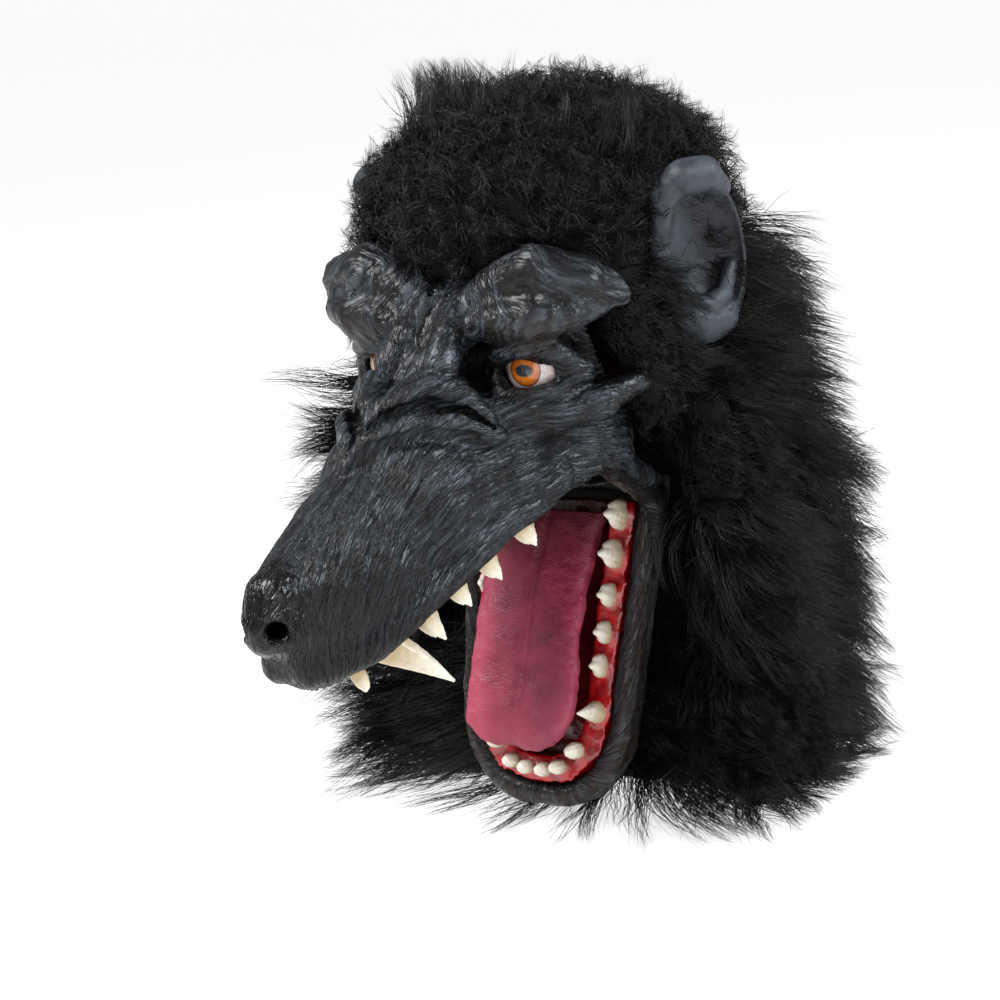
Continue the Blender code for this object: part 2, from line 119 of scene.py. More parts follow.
# Hood: outlines by height, outside of the pile
HOOD_Z = (-300, -215, -130, -90, -50, 0, 40)
HOOD_HALF_WIDTH = (117, 121, 120, 117, 111, 101, 94)
HOOD_FRONT = (85, 91, 106, 60, 20, 0, -9)
HOOD_BACK = (214, 222, 216, 209, 203, 196, 188)
HOOD_MIDDLE = (150, 145, 140, 118, 108, 98, 90)  # where the outline is widest
DOME_Z, DOME_HEIGHT = 28.0, 64.0
PILE, CROWN_PILE, BIB_PILE = 26.0, 16.0, 16.0
BIB_DEPTH = 140.0  # the bib lies in front of this
RUFF = (((96, 80, -75), 19), ((102, 90, -150), 26), ((101, 96, -240), 27), ((99, 98, -330), 26))
CROWN_SEAM, SIDE_SEAM, BACK_SEAM, BIB_TOP = 5.0, 70.0, 165.0, -137.0

# Ears
EAR = (95.0, 80.0, 4.0)
EAR_TURN = math.radians(21)
EAR_LEAN = math.radians(8)
EAR_SIZE = (10.0, 30.0, 47.0)

# Teeth: name, place along the row, length, radius at the gum and how far the tip leans out
UPPER_TEETH = (
    ("incisor_1", -145, 8, 2.7, 0.1), ("incisor_2", -142, 9, 3.0, 0.2), ("incisor_3", -134, 12, 3.6, 0.4),
    ("canine", -113, 37, 7.4, 1.1), ("cheek_tooth_1", -90, 19, 5.2, 0.75), ("cheek_tooth_2", -69, 15, 4.9, 0.7),
    ("cheek_tooth_3", -48, 16, 5.2, 0.7), ("cheek_tooth_4", -22, 15, 5.6, 0.65),
)  # fmt: skip
LOWER_TEETH = (
    ("incisor_1", 143.5, 9, 3.4, 0.0), ("incisor_2", 141, 9.5, 3.5, 0.0), ("incisor_3", 131, 11, 3.9, 0.0),
    ("canine", 109, 17, 5.6, -0.1), ("cheek_tooth_1", 84, 10, 4.2, -0.1), ("cheek_tooth_2", 66, 10, 4.0, -0.1),
    ("cheek_tooth_3", 46, 11, 4.2, -0.1), ("cheek_tooth_4", 24, 15, 5.2, -0.1), ("cheek_tooth_5", 3, 14, 5.4, -0.1),
)  # fmt: skip
SUNK = {"incisor_1": 3.5, "incisor_2": 3.5}  # up behind the lip, out of sight
UPPER_INCISOR_X = {"incisor_1": 4.0, "incisor_2": 11.0, "incisor_3": 17.0}
LOWER_INCISOR_X = {"incisor_1": 5.5, "incisor_2": 15.0, "incisor_3": 25.0}


# ---- fields -------------------------------------------------------------------------------------


def within(*fields):
    """Inside of all these fields at once."""
    return functools.reduce(np.maximum, fields)


def soft_union(a, b, blend):
    h = np.clip(0.5 + 0.5 * (b - a) / blend, 0, 1)
    return b + (a - b) * h - blend * h * (1 - h)


def fade(value, start, end):
    """Rises from 0 at start to 1 at end."""
    return np.clip((value - start) / (end - start), 0, 1)


def ball(p, centre, radii):
    """Distance to an ellipsoid, close enough near its surface."""
    q = p - np.asarray(centre, float)
    near = np.linalg.norm(q / radii, axis=-1)
    slope = np.linalg.norm(q / np.square(radii), axis=-1)
    return near * (near - 1) / np.maximum(slope, TINY)


def tube(p, stations):
    """Distance to a chain of tapered rods: ((x, y, z), radius) at each joint."""
    best = None
    for (a, ra), (b, rb) in zip(stations, stations[1:]):
        a, b = np.asarray(a, float), np.asarray(b, float)
        along = np.clip((p - a) @ (b - a) / ((b - a) @ (b - a)), 0, 1)
        d = np.linalg.norm(p - a - along[..., None] * (b - a), axis=-1) - (ra + (rb - ra) * along)
        best = d if best is None else np.minimum(best, d)
    return best


def lip_line(y, corner=True):
    rise = CORNER_Z + LIP_SLOPE * (y - CORNER_Y)
    drop = CORNER_Z + CORNER_SLOPE * (y - CORNER_Y)
    return np.where(y > CORNER_Y, drop, rise) if corner else rise


def brow_line(x):
    return BROW_TOP * np.exp(-(((np.abs(x) - BROW_TOP_X) / BROW_SPREAD) ** 2))


def face_back(z):
    return FACE_BACK - FACE_BACK_SLOPE * np.minimum(z, 0)


def both_sides(p):
    q = p.copy()
    q[..., 0] = np.abs(q[..., 0])
    return q


def face_form(p):
    """Brows, nose, muzzle and cheeks, as one solid form."""
    q = both_sides(p)
    form = ball(q, (0, 95, -10), (90, 90, 85))
    for centre, radii in (
        ((0, 34, -84), (70, 48, 54)),
        ((0, -15, -90), (55, 48, 46)),
        ((0, -60, -99), (44, 48, 52)),
        ((0, -105, -119), (34, 44, 46)),
        ((0, -137, -126), (25, 34, 36)),
    ):
        form = soft_union(form, ball(q, centre, radii), 12)
    bridge = (((0, -4, -14), 15), ((0, -46, -50), 15), ((0, -85, -79), 16), ((0, -148, -108), 15))
    brow = (((12, -4, -12), 11), ((28, -5, 1), 13), ((50, -3, 9), 15), ((72, 6, 4), 13), ((83, 18, -3), 8))
    cheekbone = (((12, -46, -50), 7), ((34, -30, -56), 8), ((56, -8, -60), 9), ((72, 14, -57), 9), ((82, 36, -51), 6))
    lip = (((10, -158, -146), 7), ((25, -128, -142), 7), ((34, -84, -125), 7.5), ((43, -40, -107), 7.5),
           ((53, 0, -93), 8), ((61, 35, -97), 8), ((63, 66, -112), 7))  # fmt: skip
    nose = (((0, -164, -110), 15), ((0, -169, -121), 15))
    wing = (((9, -164, -124), 9), ((8, -158, -133), 8))
    upper_lid = (((25, -10, -35), 4), ((33, -14, -27), 5), ((46, -14, -25), 6), ((58, -5, -29), 6), ((66, 8, -40), 5))
    lower_lid = (((25, -10, -40), 4), ((34, -15, -49), 5), ((46, -13, -51), 5), ((58, -5, -48), 5), ((66, 8, -42), 5))
    for stations, blend in ((bridge, 14), (brow, 9), (cheekbone, 8), (lip, 7), (nose, 6), (wing, 4),
                            (upper_lid, 5), (lower_lid, 5)):  # fmt: skip
        form = soft_union(form, tube(q, stations), blend)
    return form


def upper_mouth_lining(p):
    """Gum arch and palate in one casting, with the throat's curtain behind."""
    x, y, z = np.moveaxis(p, -1, 0)
    over_lip = z - lip_line(y, corner=False)
    half_width = np.interp(y, LIP_Y, LIP_HALF_WIDTH)
    inside = within(face_form(p) + SKIN + GAP, y - face_back(z))
    behind = within(np.abs(x) - ARCH_BACK_HALF_WIDTH, face_back(z) - ARCH_LAP - y)
    arch = within(np.minimum(inside, behind), -over_lip - LIP_EDGE, over_lip - PALATE_RISE - ROOF, y - ARCH_END)
    vault = np.hypot(x / (half_width - GUM_WIDTH), (over_lip + LIP_EDGE) / PALATE_RISE)
    arch = within(arch, (1 - vault) * PALATE_RISE)
    curtain = (np.abs(axis - at) - half for axis, at, half in zip((x, y, z), CURTAIN, CURTAIN_HALF_SIZE))
    return np.minimum(arch, within(*curtain))


def jaw_axes(p):
    """Across, along and up from the lower jaw's floor."""
    x, y, z = np.moveaxis(p - np.asarray(JAW_ROOT), -1, 0)
    cos, sin = math.cos(JAW_DROOP), math.sin(JAW_DROOP)
    return x, -cos * y - sin * z, -sin * y + cos * z


def jaw_half_width(s):
    return JAW_HALF_WIDTH - JAW_NARROWING * np.maximum(s, 0)


def jaw_plan(x, s):
    """Distance outside the jaw's outline, seen from above its teeth."""
    power, half_width = JAW_SQUARENESS, jaw_half_width(s)
    curve = np.maximum(s - JAW_STRAIGHT, 0) / (JAW_LENGTH - JAW_STRAIGHT)
    return ((np.abs(x / half_width) ** power + curve**power) ** (1 / power) - 1) * half_width


def jaw_form(x, s, n):
    """Distance outside the jaw's trough, whose underside is rounded."""
    power, half_width = JAW_SQUARENESS, jaw_half_width(s)
    curve = np.maximum(s - JAW_STRAIGHT, 0) / (JAW_LENGTH - JAW_STRAIGHT)
    sunk = np.maximum(-n, 0) / JAW_DEPTH
    size = (np.abs(x / half_width) ** power + curve**power + sunk**power) ** (1 / power)
    scale = half_width + (JAW_DEPTH - half_width) * np.clip(sunk**2, 0, 1)
    return (size - 1) * scale


def jaw_rim(x, s, n):
    return np.hypot(jaw_plan(x, s) + RIM_RADIUS, n + RIM_DROP) - RIM_RADIUS


def lower_mouth_lining(p):
    x, s, n = jaw_axes(p)
    outline_in = jaw_plan(x, s) + RIM_RADIUS
    solid = within(jaw_form(x, s, n) + SKIN + 2 * GAP, 1.5 * GAP - jaw_rim(x, s, n), outline_in, n - GUM_TOP)
    hollow = within(outline_in + RIM_RADIUS + LOWER_GUM_WIDTH, JAW_FLOOR - n)
    return within(solid, -hollow, LINING_START - s)


def ear_axes(p):
    """Out of the ear's cup, across it and up it."""
    x, y, z = np.moveaxis(p - np.asarray(EAR), -1, 0)
    out, across = math.cos(EAR_TURN) * x - math.sin(EAR_TURN) * y, math.sin(EAR_TURN) * x + math.cos(EAR_TURN) * y
    up = math.cos(EAR_LEAN) * z - math.sin(EAR_LEAN) * across
    return np.stack([out, math.cos(EAR_LEAN) * across + math.sin(EAR_LEAN) * z, up], -1)


def ear(p):
    q = ear_axes(p)
    shell = ball(q, (0, 0, 0), EAR_SIZE)
    cup = ball(q, (9, 0, 4), (12, EAR_SIZE[1] - 6, EAR_SIZE[2] - 10))
    fold = tube(q, (((1, -14, 38), 7), ((8, -2, 41), 9), ((8, 10, 36), 7)))
    root = tube(q, (((-2, -14, -30), 9), ((0, 6, -36), 9)))
    return soft_union(soft_union(np.maximum(shell, -cup), fold, 5), root, 6)


def outline(p, pile):
    """Distance outside the hood's envelope, less the pile."""
    x, y, z = np.moveaxis(p, -1, 0)
    level = np.minimum(z, DOME_Z)
    half_width = np.interp(level, HOOD_Z, HOOD_HALF_WIDTH) - pile
    front = np.interp(level, HOOD_Z, HOOD_FRONT) + pile
    back = np.interp(level, HOOD_Z, HOOD_BACK) - pile
    middle = np.interp(level, HOOD_Z, HOOD_MIDDLE)
    depth = np.where(y < middle, middle - front, back - middle)
    power = np.interp(level, (-130, -60), (2.3, 2.0))
    over = np.maximum(z - DOME_Z, 0) / (DOME_HEIGHT - pile)
    size = np.hypot((np.abs(x / half_width) ** power + np.abs((y - middle) / depth) ** power) ** (1 / power), over)
    scale = np.where(y < middle, np.minimum(half_width, depth), half_width)
    return (size - 1) * scale


# ---- meshes -------------------------------------------------------------------------------------


def without_pinches(value, cell):
    """Fills the grid points that would make the surface touch itself along an edge."""
    value, passes = value.copy(), 8
    for _ in range(passes):
        for axis in range(3):
            v = np.moveaxis(value, axis, 0)
            a, b, c, d = v[:, :-1, :-1], v[:, 1:, :-1], v[:, :-1, 1:], v[:, 1:, 1:]
            one = (a < 0) & (d < 0) & (b >= 0) & (c >= 0)
            other = (b < 0) & (c < 0) & (a >= 0) & (d >= 0)
            b[one] = c[one] = a[other] = d[other] = -0.1 * cell
    return value


def largest_body(points, quads):
    """Leaves out the crumbs that a cut leaves beside a body."""
    body = np.arange(len(points))
    ends = np.concatenate([quads[:, [i, (i + 1) % 4]] for i in range(4)])
    while True:
        joined = np.minimum(body[ends[:, 0]], body[ends[:, 1]])
        merged = body.copy()
        np.minimum.at(merged, ends[:, 0], joined)
        np.minimum.at(merged, ends[:, 1], joined)
        merged = merged[merged]
        if (merged == body).all():
            break
        body = merged
    kept = body == np.bincount(body).argmax()
    renumbered = np.cumsum(kept) - 1
    return points[kept], renumbered[quads[kept[quads[:, 0]]]]


def mesh_of(field, low, high, cell, symmetric=False):
    """Points and quads of the surface where the field is zero: one point in each cell it crosses."""
    counts = np.ceil((np.array(high) - low) / cell).astype(int) + 1
    if symmetric:
        counts[0] = 2 * int(math.ceil(high[0] / cell)) + 1
        low = (-(counts[0] // 2) * cell, low[1], low[2])
    lines = [float(low[i]) + cell * np.arange(counts[i]) for i in range(3)]
    grid = np.stack(np.meshgrid(*lines, indexing="ij"), -1)
    value = without_pinches(symmetric_values(field, lines) if symmetric else field(grid), cell)
    total, number, crossings = np.zeros([*(counts - 1), 3]), np.zeros(counts - 1), []
    for axis in range(3):
        a, b = np.moveaxis(value, axis, 0)[:-1], np.moveaxis(value, axis, 0)[1:]
        crossing = (a < 0) != (b < 0)
        share = np.where(crossing, a / np.where(crossing, a - b, 1), 0)
        points = np.moveaxis(grid, axis, 0)[:-1].copy()
        points[..., axis] += share * cell
        crossing, points = np.moveaxis(crossing, 0, axis), np.moveaxis(points, 0, axis)
        starts_inside = np.moveaxis(a < 0, 0, axis)
        others = [i for i in range(3) if i != axis]
        for first in (0, 1):
            for second in (0, 1):
                part = [slice(None)] * 3
                part[others[0]] = slice(first, counts[others[0]] - 1 + first)
                part[others[1]] = slice(second, counts[others[1]] - 1 + second)
                number += crossing[tuple(part)]
                total += crossing[tuple(part)][..., None] * points[tuple(part)]
        crossings.append((axis, crossing, starts_inside))
    used = number > 0
    index = np.full(used.shape, -1)
    index[used] = np.arange(used.sum())
    quads = []
    for axis, crossing, starts_inside in crossings:
        u, v = (axis + 1) % 3, (axis + 2) % 3
        at = np.argwhere(crossing)
        corners = []
        for du, dv in ((1, 1), (0, 1), (0, 0), (1, 0)):
            cell_at = at.copy()
            cell_at[:, u] -= du
            cell_at[:, v] -= dv
            corners.append(index[tuple(cell_at.T)])
        quad = np.stack(corners, -1)
        outward = starts_inside[tuple(at.T)]
        quads.append(np.where(outward[:, None], quad, quad[:, ::-1]))
    return largest_body(total[used] / number[used][:, None], np.concatenate(quads))


def place(points):
    return (np.asarray(points, float) + (0, -PEAK_FORWARD, PEAK_HEIGHT)) * MM


def jaw_point(x, s, n):
    cos, sin = math.cos(JAW_DROOP), math.sin(JAW_DROOP)
    return np.asarray(JAW_ROOT) + (x, -cos * s - sin * n, -sin * s + cos * n)


def symmetric_values(field, lines):
    """The field on a grid that is centred on X = 0, evaluated on one half only."""
    half = len(lines[0]) // 2
    grid = np.stack(np.meshgrid(lines[0][half:], *lines[1:], indexing="ij"), -1)
    value = field(grid)
    return np.concatenate([value[:0:-1], value])


def split(points, quads, chosen=None):
    """Each chosen quad cut in four; its neighbours take the new points on their edges."""
    chosen = np.ones(len(quads), bool) if chosen is None else chosen
    ends = np.sort(np.stack([quads, np.roll(quads, -1, 1)], -1), -1)
    flat = ends[chosen].reshape(-1, 2)
    key = flat[:, 0] * len(points) + flat[:, 1]
    keys, first, inverse = np.unique(key, return_index=True, return_inverse=True)
    middles = points[flat[first]].mean(1)
    centres = points[quads[chosen]].mean(1)
    middle_at = len(points) + inverse.reshape(-1, 4)
    centre_at = len(points) + len(middles) + np.arange(len(centres))
    corner = quads[chosen]
    cut = [np.stack([corner[:, i], middle_at[:, i], centre_at, middle_at[:, (i + 3) % 4]], -1) for i in range(4)]
    whole = quads[~chosen]
    edge_key = (ends[~chosen][..., 0] * len(points) + ends[~chosen][..., 1]).reshape(-1)
    place_at = np.clip(np.searchsorted(keys, edge_key), 0, len(keys) - 1)
    extra = np.where(keys[place_at] == edge_key, len(points) + place_at, -1).reshape(-1, 4)
    plain = (extra < 0).all(1)
    odd = []
    for quad, more in zip(whole[~plain].tolist(), extra[~plain].tolist()):
        odd.append([v for pair in zip(quad, more) for v in pair if v >= 0])
    return np.concatenate([points, middles, centres]), np.concatenate([*cut, whole[plain]]), odd


def slope(field, points, step=0.25):
    """The field's outward direction at these points."""
    parts = []
    for axis in range(3):
        offset = np.zeros(3)
        offset[axis] = step
        parts.append((field(points + offset) - field(points - offset)) / (2 * step))
    return np.stack(parts, -1)


def settled(points, field, rounds=2, reach=0.8):
    """The points moved onto the field's surface, and the outward directions there."""
    for _ in range(rounds):
        value, out = field(points), slope(field, points)
        size = np.maximum((out**2).sum(-1), 0.05)
        move = -(value / size)[:, None] * out
        far = np.linalg.norm(move, axis=1)
        points = points + move * np.minimum(1, reach / np.maximum(far, TINY))[:, None]
    out = slope(field, points)
    return points, out / np.maximum(np.linalg.norm(out, axis=-1), TINY)[:, None]


def scatter(cells, seed):
    """A fixed number from 0 to 1 for each whole-numbered cell."""
    cells = cells.astype(np.int64).astype(np.uint32)
    mixed = cells[..., 0] * np.uint32(374761393) + cells[..., 1] * np.uint32(668265263)
    mixed = mixed + cells[..., 2] * np.uint32(2246822519) + np.uint32(seed * 362437 + 5)
    mixed = (mixed ^ (mixed >> np.uint32(13))) * np.uint32(1274126177)
    mixed = (mixed ^ (mixed >> np.uint32(15))) * np.uint32(2654435761)
    return ((mixed ^ (mixed >> np.uint32(16))) & np.uint32(0xFFFFFF)) / float(0xFFFFFF)


def noise(q, seed=0):
    """Smooth noise from -1 to 1, with lumps one unit apart."""
    base = np.floor(q)
    part = q - base
    part = part * part * (3 - 2 * part)
    total = 0
    for corner in np.ndindex(2, 2, 2):
        weight = np.where(corner, part, 1 - part).prod(-1)
        total = total + weight * scatter(base + corner, seed)
    return 2 * total - 1


def layered(q, seed=0, layers=3):
    return sum(noise(q * 2**i, seed + i) / 2**i for i in range(layers)) / (2 - 2.0 ** (1 - layers))


def across_flow(points, quads, normals, flow, outside, rounds=900):
    """A value in mm that grows across the flow, so that hair lines lie along its contours."""
    across = np.cross(normals, flow)
    across /= np.maximum(np.linalg.norm(across, axis=1), 0.05)[:, None]
    ends = np.concatenate([quads[:, [i, (i + 1) % 4]] for i in range(4)])
    ends = ends[(ends[:, 0] < ends[:, 1]) & outside[ends].all(1)]
    a, b = ends.T
    wanted = ((points[b] - points[a]) * (across[a] + across[b]) / 2).sum(1)
    count = len(points)

    def gathered(value):
        return np.bincount(b, value, count) - np.bincount(a, value, count)

    degree = np.maximum(np.bincount(a, minlength=count) + np.bincount(b, minlength=count), 1)
    result, left = np.zeros(count), gathered(wanted)
    scaled = left / degree
    heading, size = scaled.copy(), left @ scaled
    enough = 1e-9 * size
    for _ in range(rounds):
        if size < enough:
            break
        pull = gathered(heading[b] - heading[a])
        step = size / (heading @ pull)
        result += step * heading
        left -= step * pull
        scaled = left / degree
        new_size = left @ scaled
        heading = scaled + new_size / size * heading
        size = new_size
    return result


def add_piece(name, points, faces, body, nodes, surfaces, attributes=None, odd=(), surface_at=None):
    """A smooth mesh piece from points in mm, riding on a body and standing for CAD nodes.

    faces are all quads or all triangles, and odd holds any others as lists.
    """
    mesh = bpy.data.meshes.new(name)
    if len(odd):
        mesh.from_pydata(place(points).tolist(), [], faces.tolist() + list(odd))
    else:
        sides = faces.shape[1]
        mesh.vertices.add(len(points))
        mesh.vertices.foreach_set("co", place(points).astype(np.float32).ravel())
        mesh.loops.add(faces.size)
        mesh.loops.foreach_set("vertex_index", faces.astype(np.int32).ravel())
        mesh.polygons.add(len(faces))
        mesh.polygons.foreach_set("loop_start", np.arange(0, faces.size, sides, dtype=np.int32))
        mesh.update(calc_edges=True)
    for surface in surfaces:
        mesh.materials.append(surface)
    if surface_at is not None:
        mesh.polygons.foreach_set("material_index", surface_at.astype(np.int32))
    mesh.polygons.foreach_set("use_smooth", np.ones(len(mesh.polygons), bool))
    for key, value in (attributes or {}).items():
        stored = mesh.attributes.new(key, "FLOAT", "POINT")
        stored.data.foreach_set("value", np.asarray(value, np.float32))
    mesh.validate()
    obj = bpy.data.objects.new(name, mesh)
    bpy.context.scene.collection.objects.link(obj)
    if body:
        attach(obj, body)
    if nodes:
        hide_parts(*nodes)
    return obj


# ---- materials ----------------------------------------------------------------------------------


class Look:
    """A node material: each method adds a node and returns its output socket."""

    def __init__(self, name, **values):
        self.material = bpy.data.materials.new(name)
        self.material.use_nodes = True
        self.tree = self.material.node_tree
        self.shader = self.tree.nodes["Principled BSDF"]
        for key, value in values.items():
            self.set(key.replace("_", " ").title().replace("Ior", "IOR"), value)

    def fill(self, target, value):
        """Links a socket to another's output, or gives it a value; a colour is three numbers."""
        if hasattr(value, "is_linked"):
            self.tree.links.new(value, target)
        elif isinstance(value, tuple) and len(value) == 3:
            target.default_value = (*value, 1)
        else:
            target.default_value = value

    def set(self, socket, value):
        self.fill(self.shader.inputs[socket], value)

    def node(self, kind, inputs, output=0, **settings):
        made = self.tree.nodes.new(kind)
        for key, value in settings.items():
            setattr(made, key, value)
        for key, value in inputs.items():
            if value is not None:
                self.fill(made.inputs[key], value)
        return made.outputs[output]

    def attribute(self, name):
        return self.node("ShaderNodeAttribute", {}, "Fac", attribute_name=name)

    def where(self):
        return self.node("ShaderNodeTexCoord", {}, "Object")

    def maths(self, operation, a, b=None, clamp=False):
        return self.node("ShaderNodeMath", {0: a, 1: b}, operation=operation, use_clamp=clamp)

    def times(self, a, b, clamp=False):
        return self.maths("MULTIPLY", a, b, clamp)

    def swing(self, value, size):
        """Noise from 0 to 1 made to swing about zero."""
        return self.times(self.maths("SUBTRACT", value, 0.5), size)

    def noise(self, vector, scale, detail=3.0, roughness=0.5, distortion=0.0):
        inputs = {"Vector": vector, "Scale": scale, "Detail": detail, "Roughness": roughness, "Distortion": distortion}
        return self.node("ShaderNodeTexNoise", inputs, "Fac")

    def pebbles(self, vector, scale):
        return self.node("ShaderNodeTexVoronoi", {"Vector": vector, "Scale": scale}, "Distance", feature="F1")

    def ramp(self, value, low, high, to_low=0.0, to_high=1.0):
        inputs = {"Value": value, "From Min": low, "From Max": high, "To Min": to_low, "To Max": to_high}
        return self.node("ShaderNodeMapRange", inputs, clamp=True)

    def mix(self, share, a, b):
        made = self.tree.nodes.new("ShaderNodeMix")
        made.data_type = "RGBA"
        for name, value in (("Factor_Float", share), ("A_Color", a), ("B_Color", b)):
            self.fill(next(socket for socket in made.inputs if socket.identifier == name), value)
        return next(socket for socket in made.outputs if socket.identifier == "Result_Color")

    def bump(self, height, strength, depth_mm, under=None):
        inputs = {"Height": height, "Strength": strength, "Distance": depth_mm * MM, "Normal": under}
        return self.node("ShaderNodeBump", inputs)

    def roughness(self, value, low, high):
        self.set("Roughness", self.ramp(value, 0.3, 0.7, low, high))

    def strand_vector(self, spacing, run):
        """Noise coordinates that change quickly across the hair lines and slowly along them."""
        inputs = {"X": self.maths("DIVIDE", self.attribute("strand"), spacing)}
        for axis in ("Y", "Z"):
            at = self.node("ShaderNodeSeparateXYZ", {0: self.where()}, axis)
            inputs[axis] = self.maths("DIVIDE", at, run * MM)
        return self.node("ShaderNodeCombineXYZ", inputs)


def black_latex():
    look = Look("Black latex, dry-brushed, with painted highlights", specular_ior_level=0.32)
    where = look.where()
    fine = look.noise(look.strand_vector(1.15, 11.0), 1.0, 2.0)
    groove = look.ramp(look.maths("ABSOLUTE", look.maths("SUBTRACT", fine, 0.5)), 0.0, 0.09)
    patches = look.noise(where, 70.0, 4.0, 0.6)
    # The steel-blue on the hair ridges is partly dry-brushed paint and partly a painted highlight.
    raised = look.times(look.maths("POWER", look.attribute("ridge"), 2.0), groove)
    paint = look.times(raised, look.times(look.ramp(patches, 0.3, 0.65), look.attribute("grey")))
    colour = look.mix(look.attribute("brown"), (0.0035, 0.0038, 0.0045), (0.020, 0.013, 0.010))
    look.set("Base Color", look.mix(look.times(paint, 0.9, clamp=True), colour, (0.085, 0.10, 0.125)))
    rough = look.ramp(look.noise(where, 260.0, 3.0), 0.3, 0.7, 0.28, 0.46)
    look.set("Roughness", look.maths("SUBTRACT", rough, look.times(look.attribute("gloss"), 0.14), clamp=True))
    pores = look.bump(look.noise(where, 1500.0, 2.0), 0.25, 0.12)
    look.set("Normal", look.bump(groove, 1.0, 0.35, pores))
    return look.material


def ear_latex():
    look = Look("Ear latex, grey-blue", specular_ior_level=0.4)
    where = look.where()
    patches = look.noise(where, 55.0, 5.0, 0.62)
    specks = look.ramp(look.pebbles(where, 420.0), 0.12, 0.02)
    colour = look.mix(look.ramp(patches, 0.32, 0.68), (0.016, 0.019, 0.024), (0.06, 0.07, 0.085))
    # painted shade: where grey is low, by the fur, the ear goes near black.
    colour = look.mix(look.attribute("grey"), (0.006, 0.006, 0.008), colour)
    look.set("Base Color", look.mix(look.times(specks, 0.35), colour, (0.2, 0.22, 0.25)))
    look.roughness(patches, 0.42, 0.62)
    pores = look.bump(look.noise(where, 1300.0, 2.0), 0.3, 0.15)
    look.set("Normal", look.bump(look.noise(where, 240.0, 5.0, 0.6), 0.55, 0.8, pores))
    return look.material


def red_gum():
    look = Look("Gum, glossy red paint over black latex", specular_ior_level=0.6, coat_weight=0.6, coat_roughness=0.08)
    where = look.where()
    edge = look.maths("ADD", look.attribute("paint"), look.swing(look.noise(where, 210.0, 4.0, 0.65), 9.0))
    mottled = look.noise(where, 120.0, 4.0)
    red = look.mix(look.ramp(mottled, 0.35, 0.65), (0.20, 0.002, 0.004), (0.52, 0.006, 0.008))
    # painted shade: the gum darkens to near black deep in the mouth, towards the throat.
    red = look.mix(look.attribute("painted_shade"), red, (0.035, 0.001, 0.002))
    look.set("Base Color", look.mix(look.ramp(edge, -0.6, 0.6), (0.006, 0.006, 0.007), red))
    look.roughness(mottled, 0.16, 0.34)
    look.set("Normal", look.bump(look.noise(where, 330.0, 3.0, 0.55), 0.5, 0.8))
    return look.material


def tongue_latex():
    look = Look("Tongue, painted crimson", specular_ior_level=0.45)
    where = look.where()
    pores = look.pebbles(where, 950.0)
    blotches = look.noise(where, 60.0, 4.0, 0.6)
    colour = look.mix(look.ramp(blotches, 0.3, 0.7), (0.13, 0.006, 0.02), (0.25, 0.018, 0.048))
    colour = look.mix(look.attribute("edge"), colour, (0.38, 0.05, 0.095))
    # painted shade: the tongue's root darkens towards the throat.
    colour = look.mix(look.attribute("painted_shade"), colour, (0.04, 0.002, 0.006))
    look.set("Base Color", look.mix(look.ramp(pores, 0.3, 0.05, 0.0, 0.35), colour, (0.10, 0.004, 0.014)))
    look.roughness(blotches, 0.38, 0.55)
    look.set("Normal", look.bump(pores, 0.7, 0.35, look.bump(look.noise(where, 330.0, 4.0), 0.5, 0.6)))
    return look.material


def tooth_ivory():
    look = Look("Tooth, ivory with stained roots", specular_ior_level=0.5)
    where = look.where()
    stain = look.maths("ADD", look.attribute("along"), look.swing(look.noise(where, 330.0, 4.0), 0.5))
    colour = look.mix(look.ramp(stain, 0.05, 0.75), (0.48, 0.36, 0.20), (0.80, 0.75, 0.64))
    marks = look.ramp(look.noise(where, 900.0, 3.0), 0.66, 0.8, 0.0, 0.4)
    look.set("Base Color", look.mix(marks, colour, (0.30, 0.20, 0.10)))
    look.roughness(look.noise(where, 200.0, 2.0), 0.26, 0.4)
    look.set("Normal", look.bump(look.noise(where, 420.0, 3.0), 0.3, 0.3))
    return look.material


def painted_eye():
    look = Look("Painted eye", coat_weight=1.0, coat_roughness=0.03, roughness=0.25)
    off, oval, spoke = look.attribute("off_axis"), look.attribute("pupil"), look.attribute("spoke")
    rays = look.node("ShaderNodeCombineXYZ", {"X": look.times(spoke, 14.0), "Y": look.times(off, 4.0)})
    iris = look.mix(look.ramp(look.noise(rays, 1.0, 3.0), 0.3, 0.7), (0.42, 0.085, 0.006), (0.86, 0.27, 0.02))
    iris = look.mix(look.ramp(off, 0.30, 0.40), iris, (0.55, 0.13, 0.01))
    iris = look.mix(look.ramp(oval, 1.25, 0.95), iris, (0.035, 0.035, 0.045))
    veins = look.ramp(look.noise(look.where(), 260.0, 5.0, 0.7, 1.5), 0.5, 0.62)
    white = look.mix(look.times(veins, 0.55), (0.70, 0.62, 0.60), (0.55, 0.12, 0.10))
    white = look.mix(look.attribute("red"), white, (0.25, 0.02, 0.02))
    rim = look.mix(look.ramp(off, 0.455, 0.475), iris, (0.03, 0.008, 0.004))
    look.set("Base Color", look.mix(look.ramp(off, 0.495, 0.515), rim, white))
    return look.material


def backing_cloth():
    look = Look("Knitted fur backing", roughness=0.9, specular_ior_level=0.15)
    where = look.where()
    knit = look.node("ShaderNodeTexWave", {"Vector": where, "Scale": 420.0, "Distortion": 2.0}, "Fac")
    look.set("Base Color", look.mix(knit, (0.003, 0.003, 0.0035), (0.008, 0.008, 0.0095)))
    look.set("Normal", look.bump(knit, 0.4, 0.4))
    return look.material


def fur_hair(name, colour, roughness):
    return Look(name, base_color=colour, roughness=roughness, specular_ior_level=0.35).material


FACE_CELL, JAW_CELL = 1.5, 1.6  # before their outer sides are cut finer


# ---- latex pieces -------------------------------------------------------------------------------

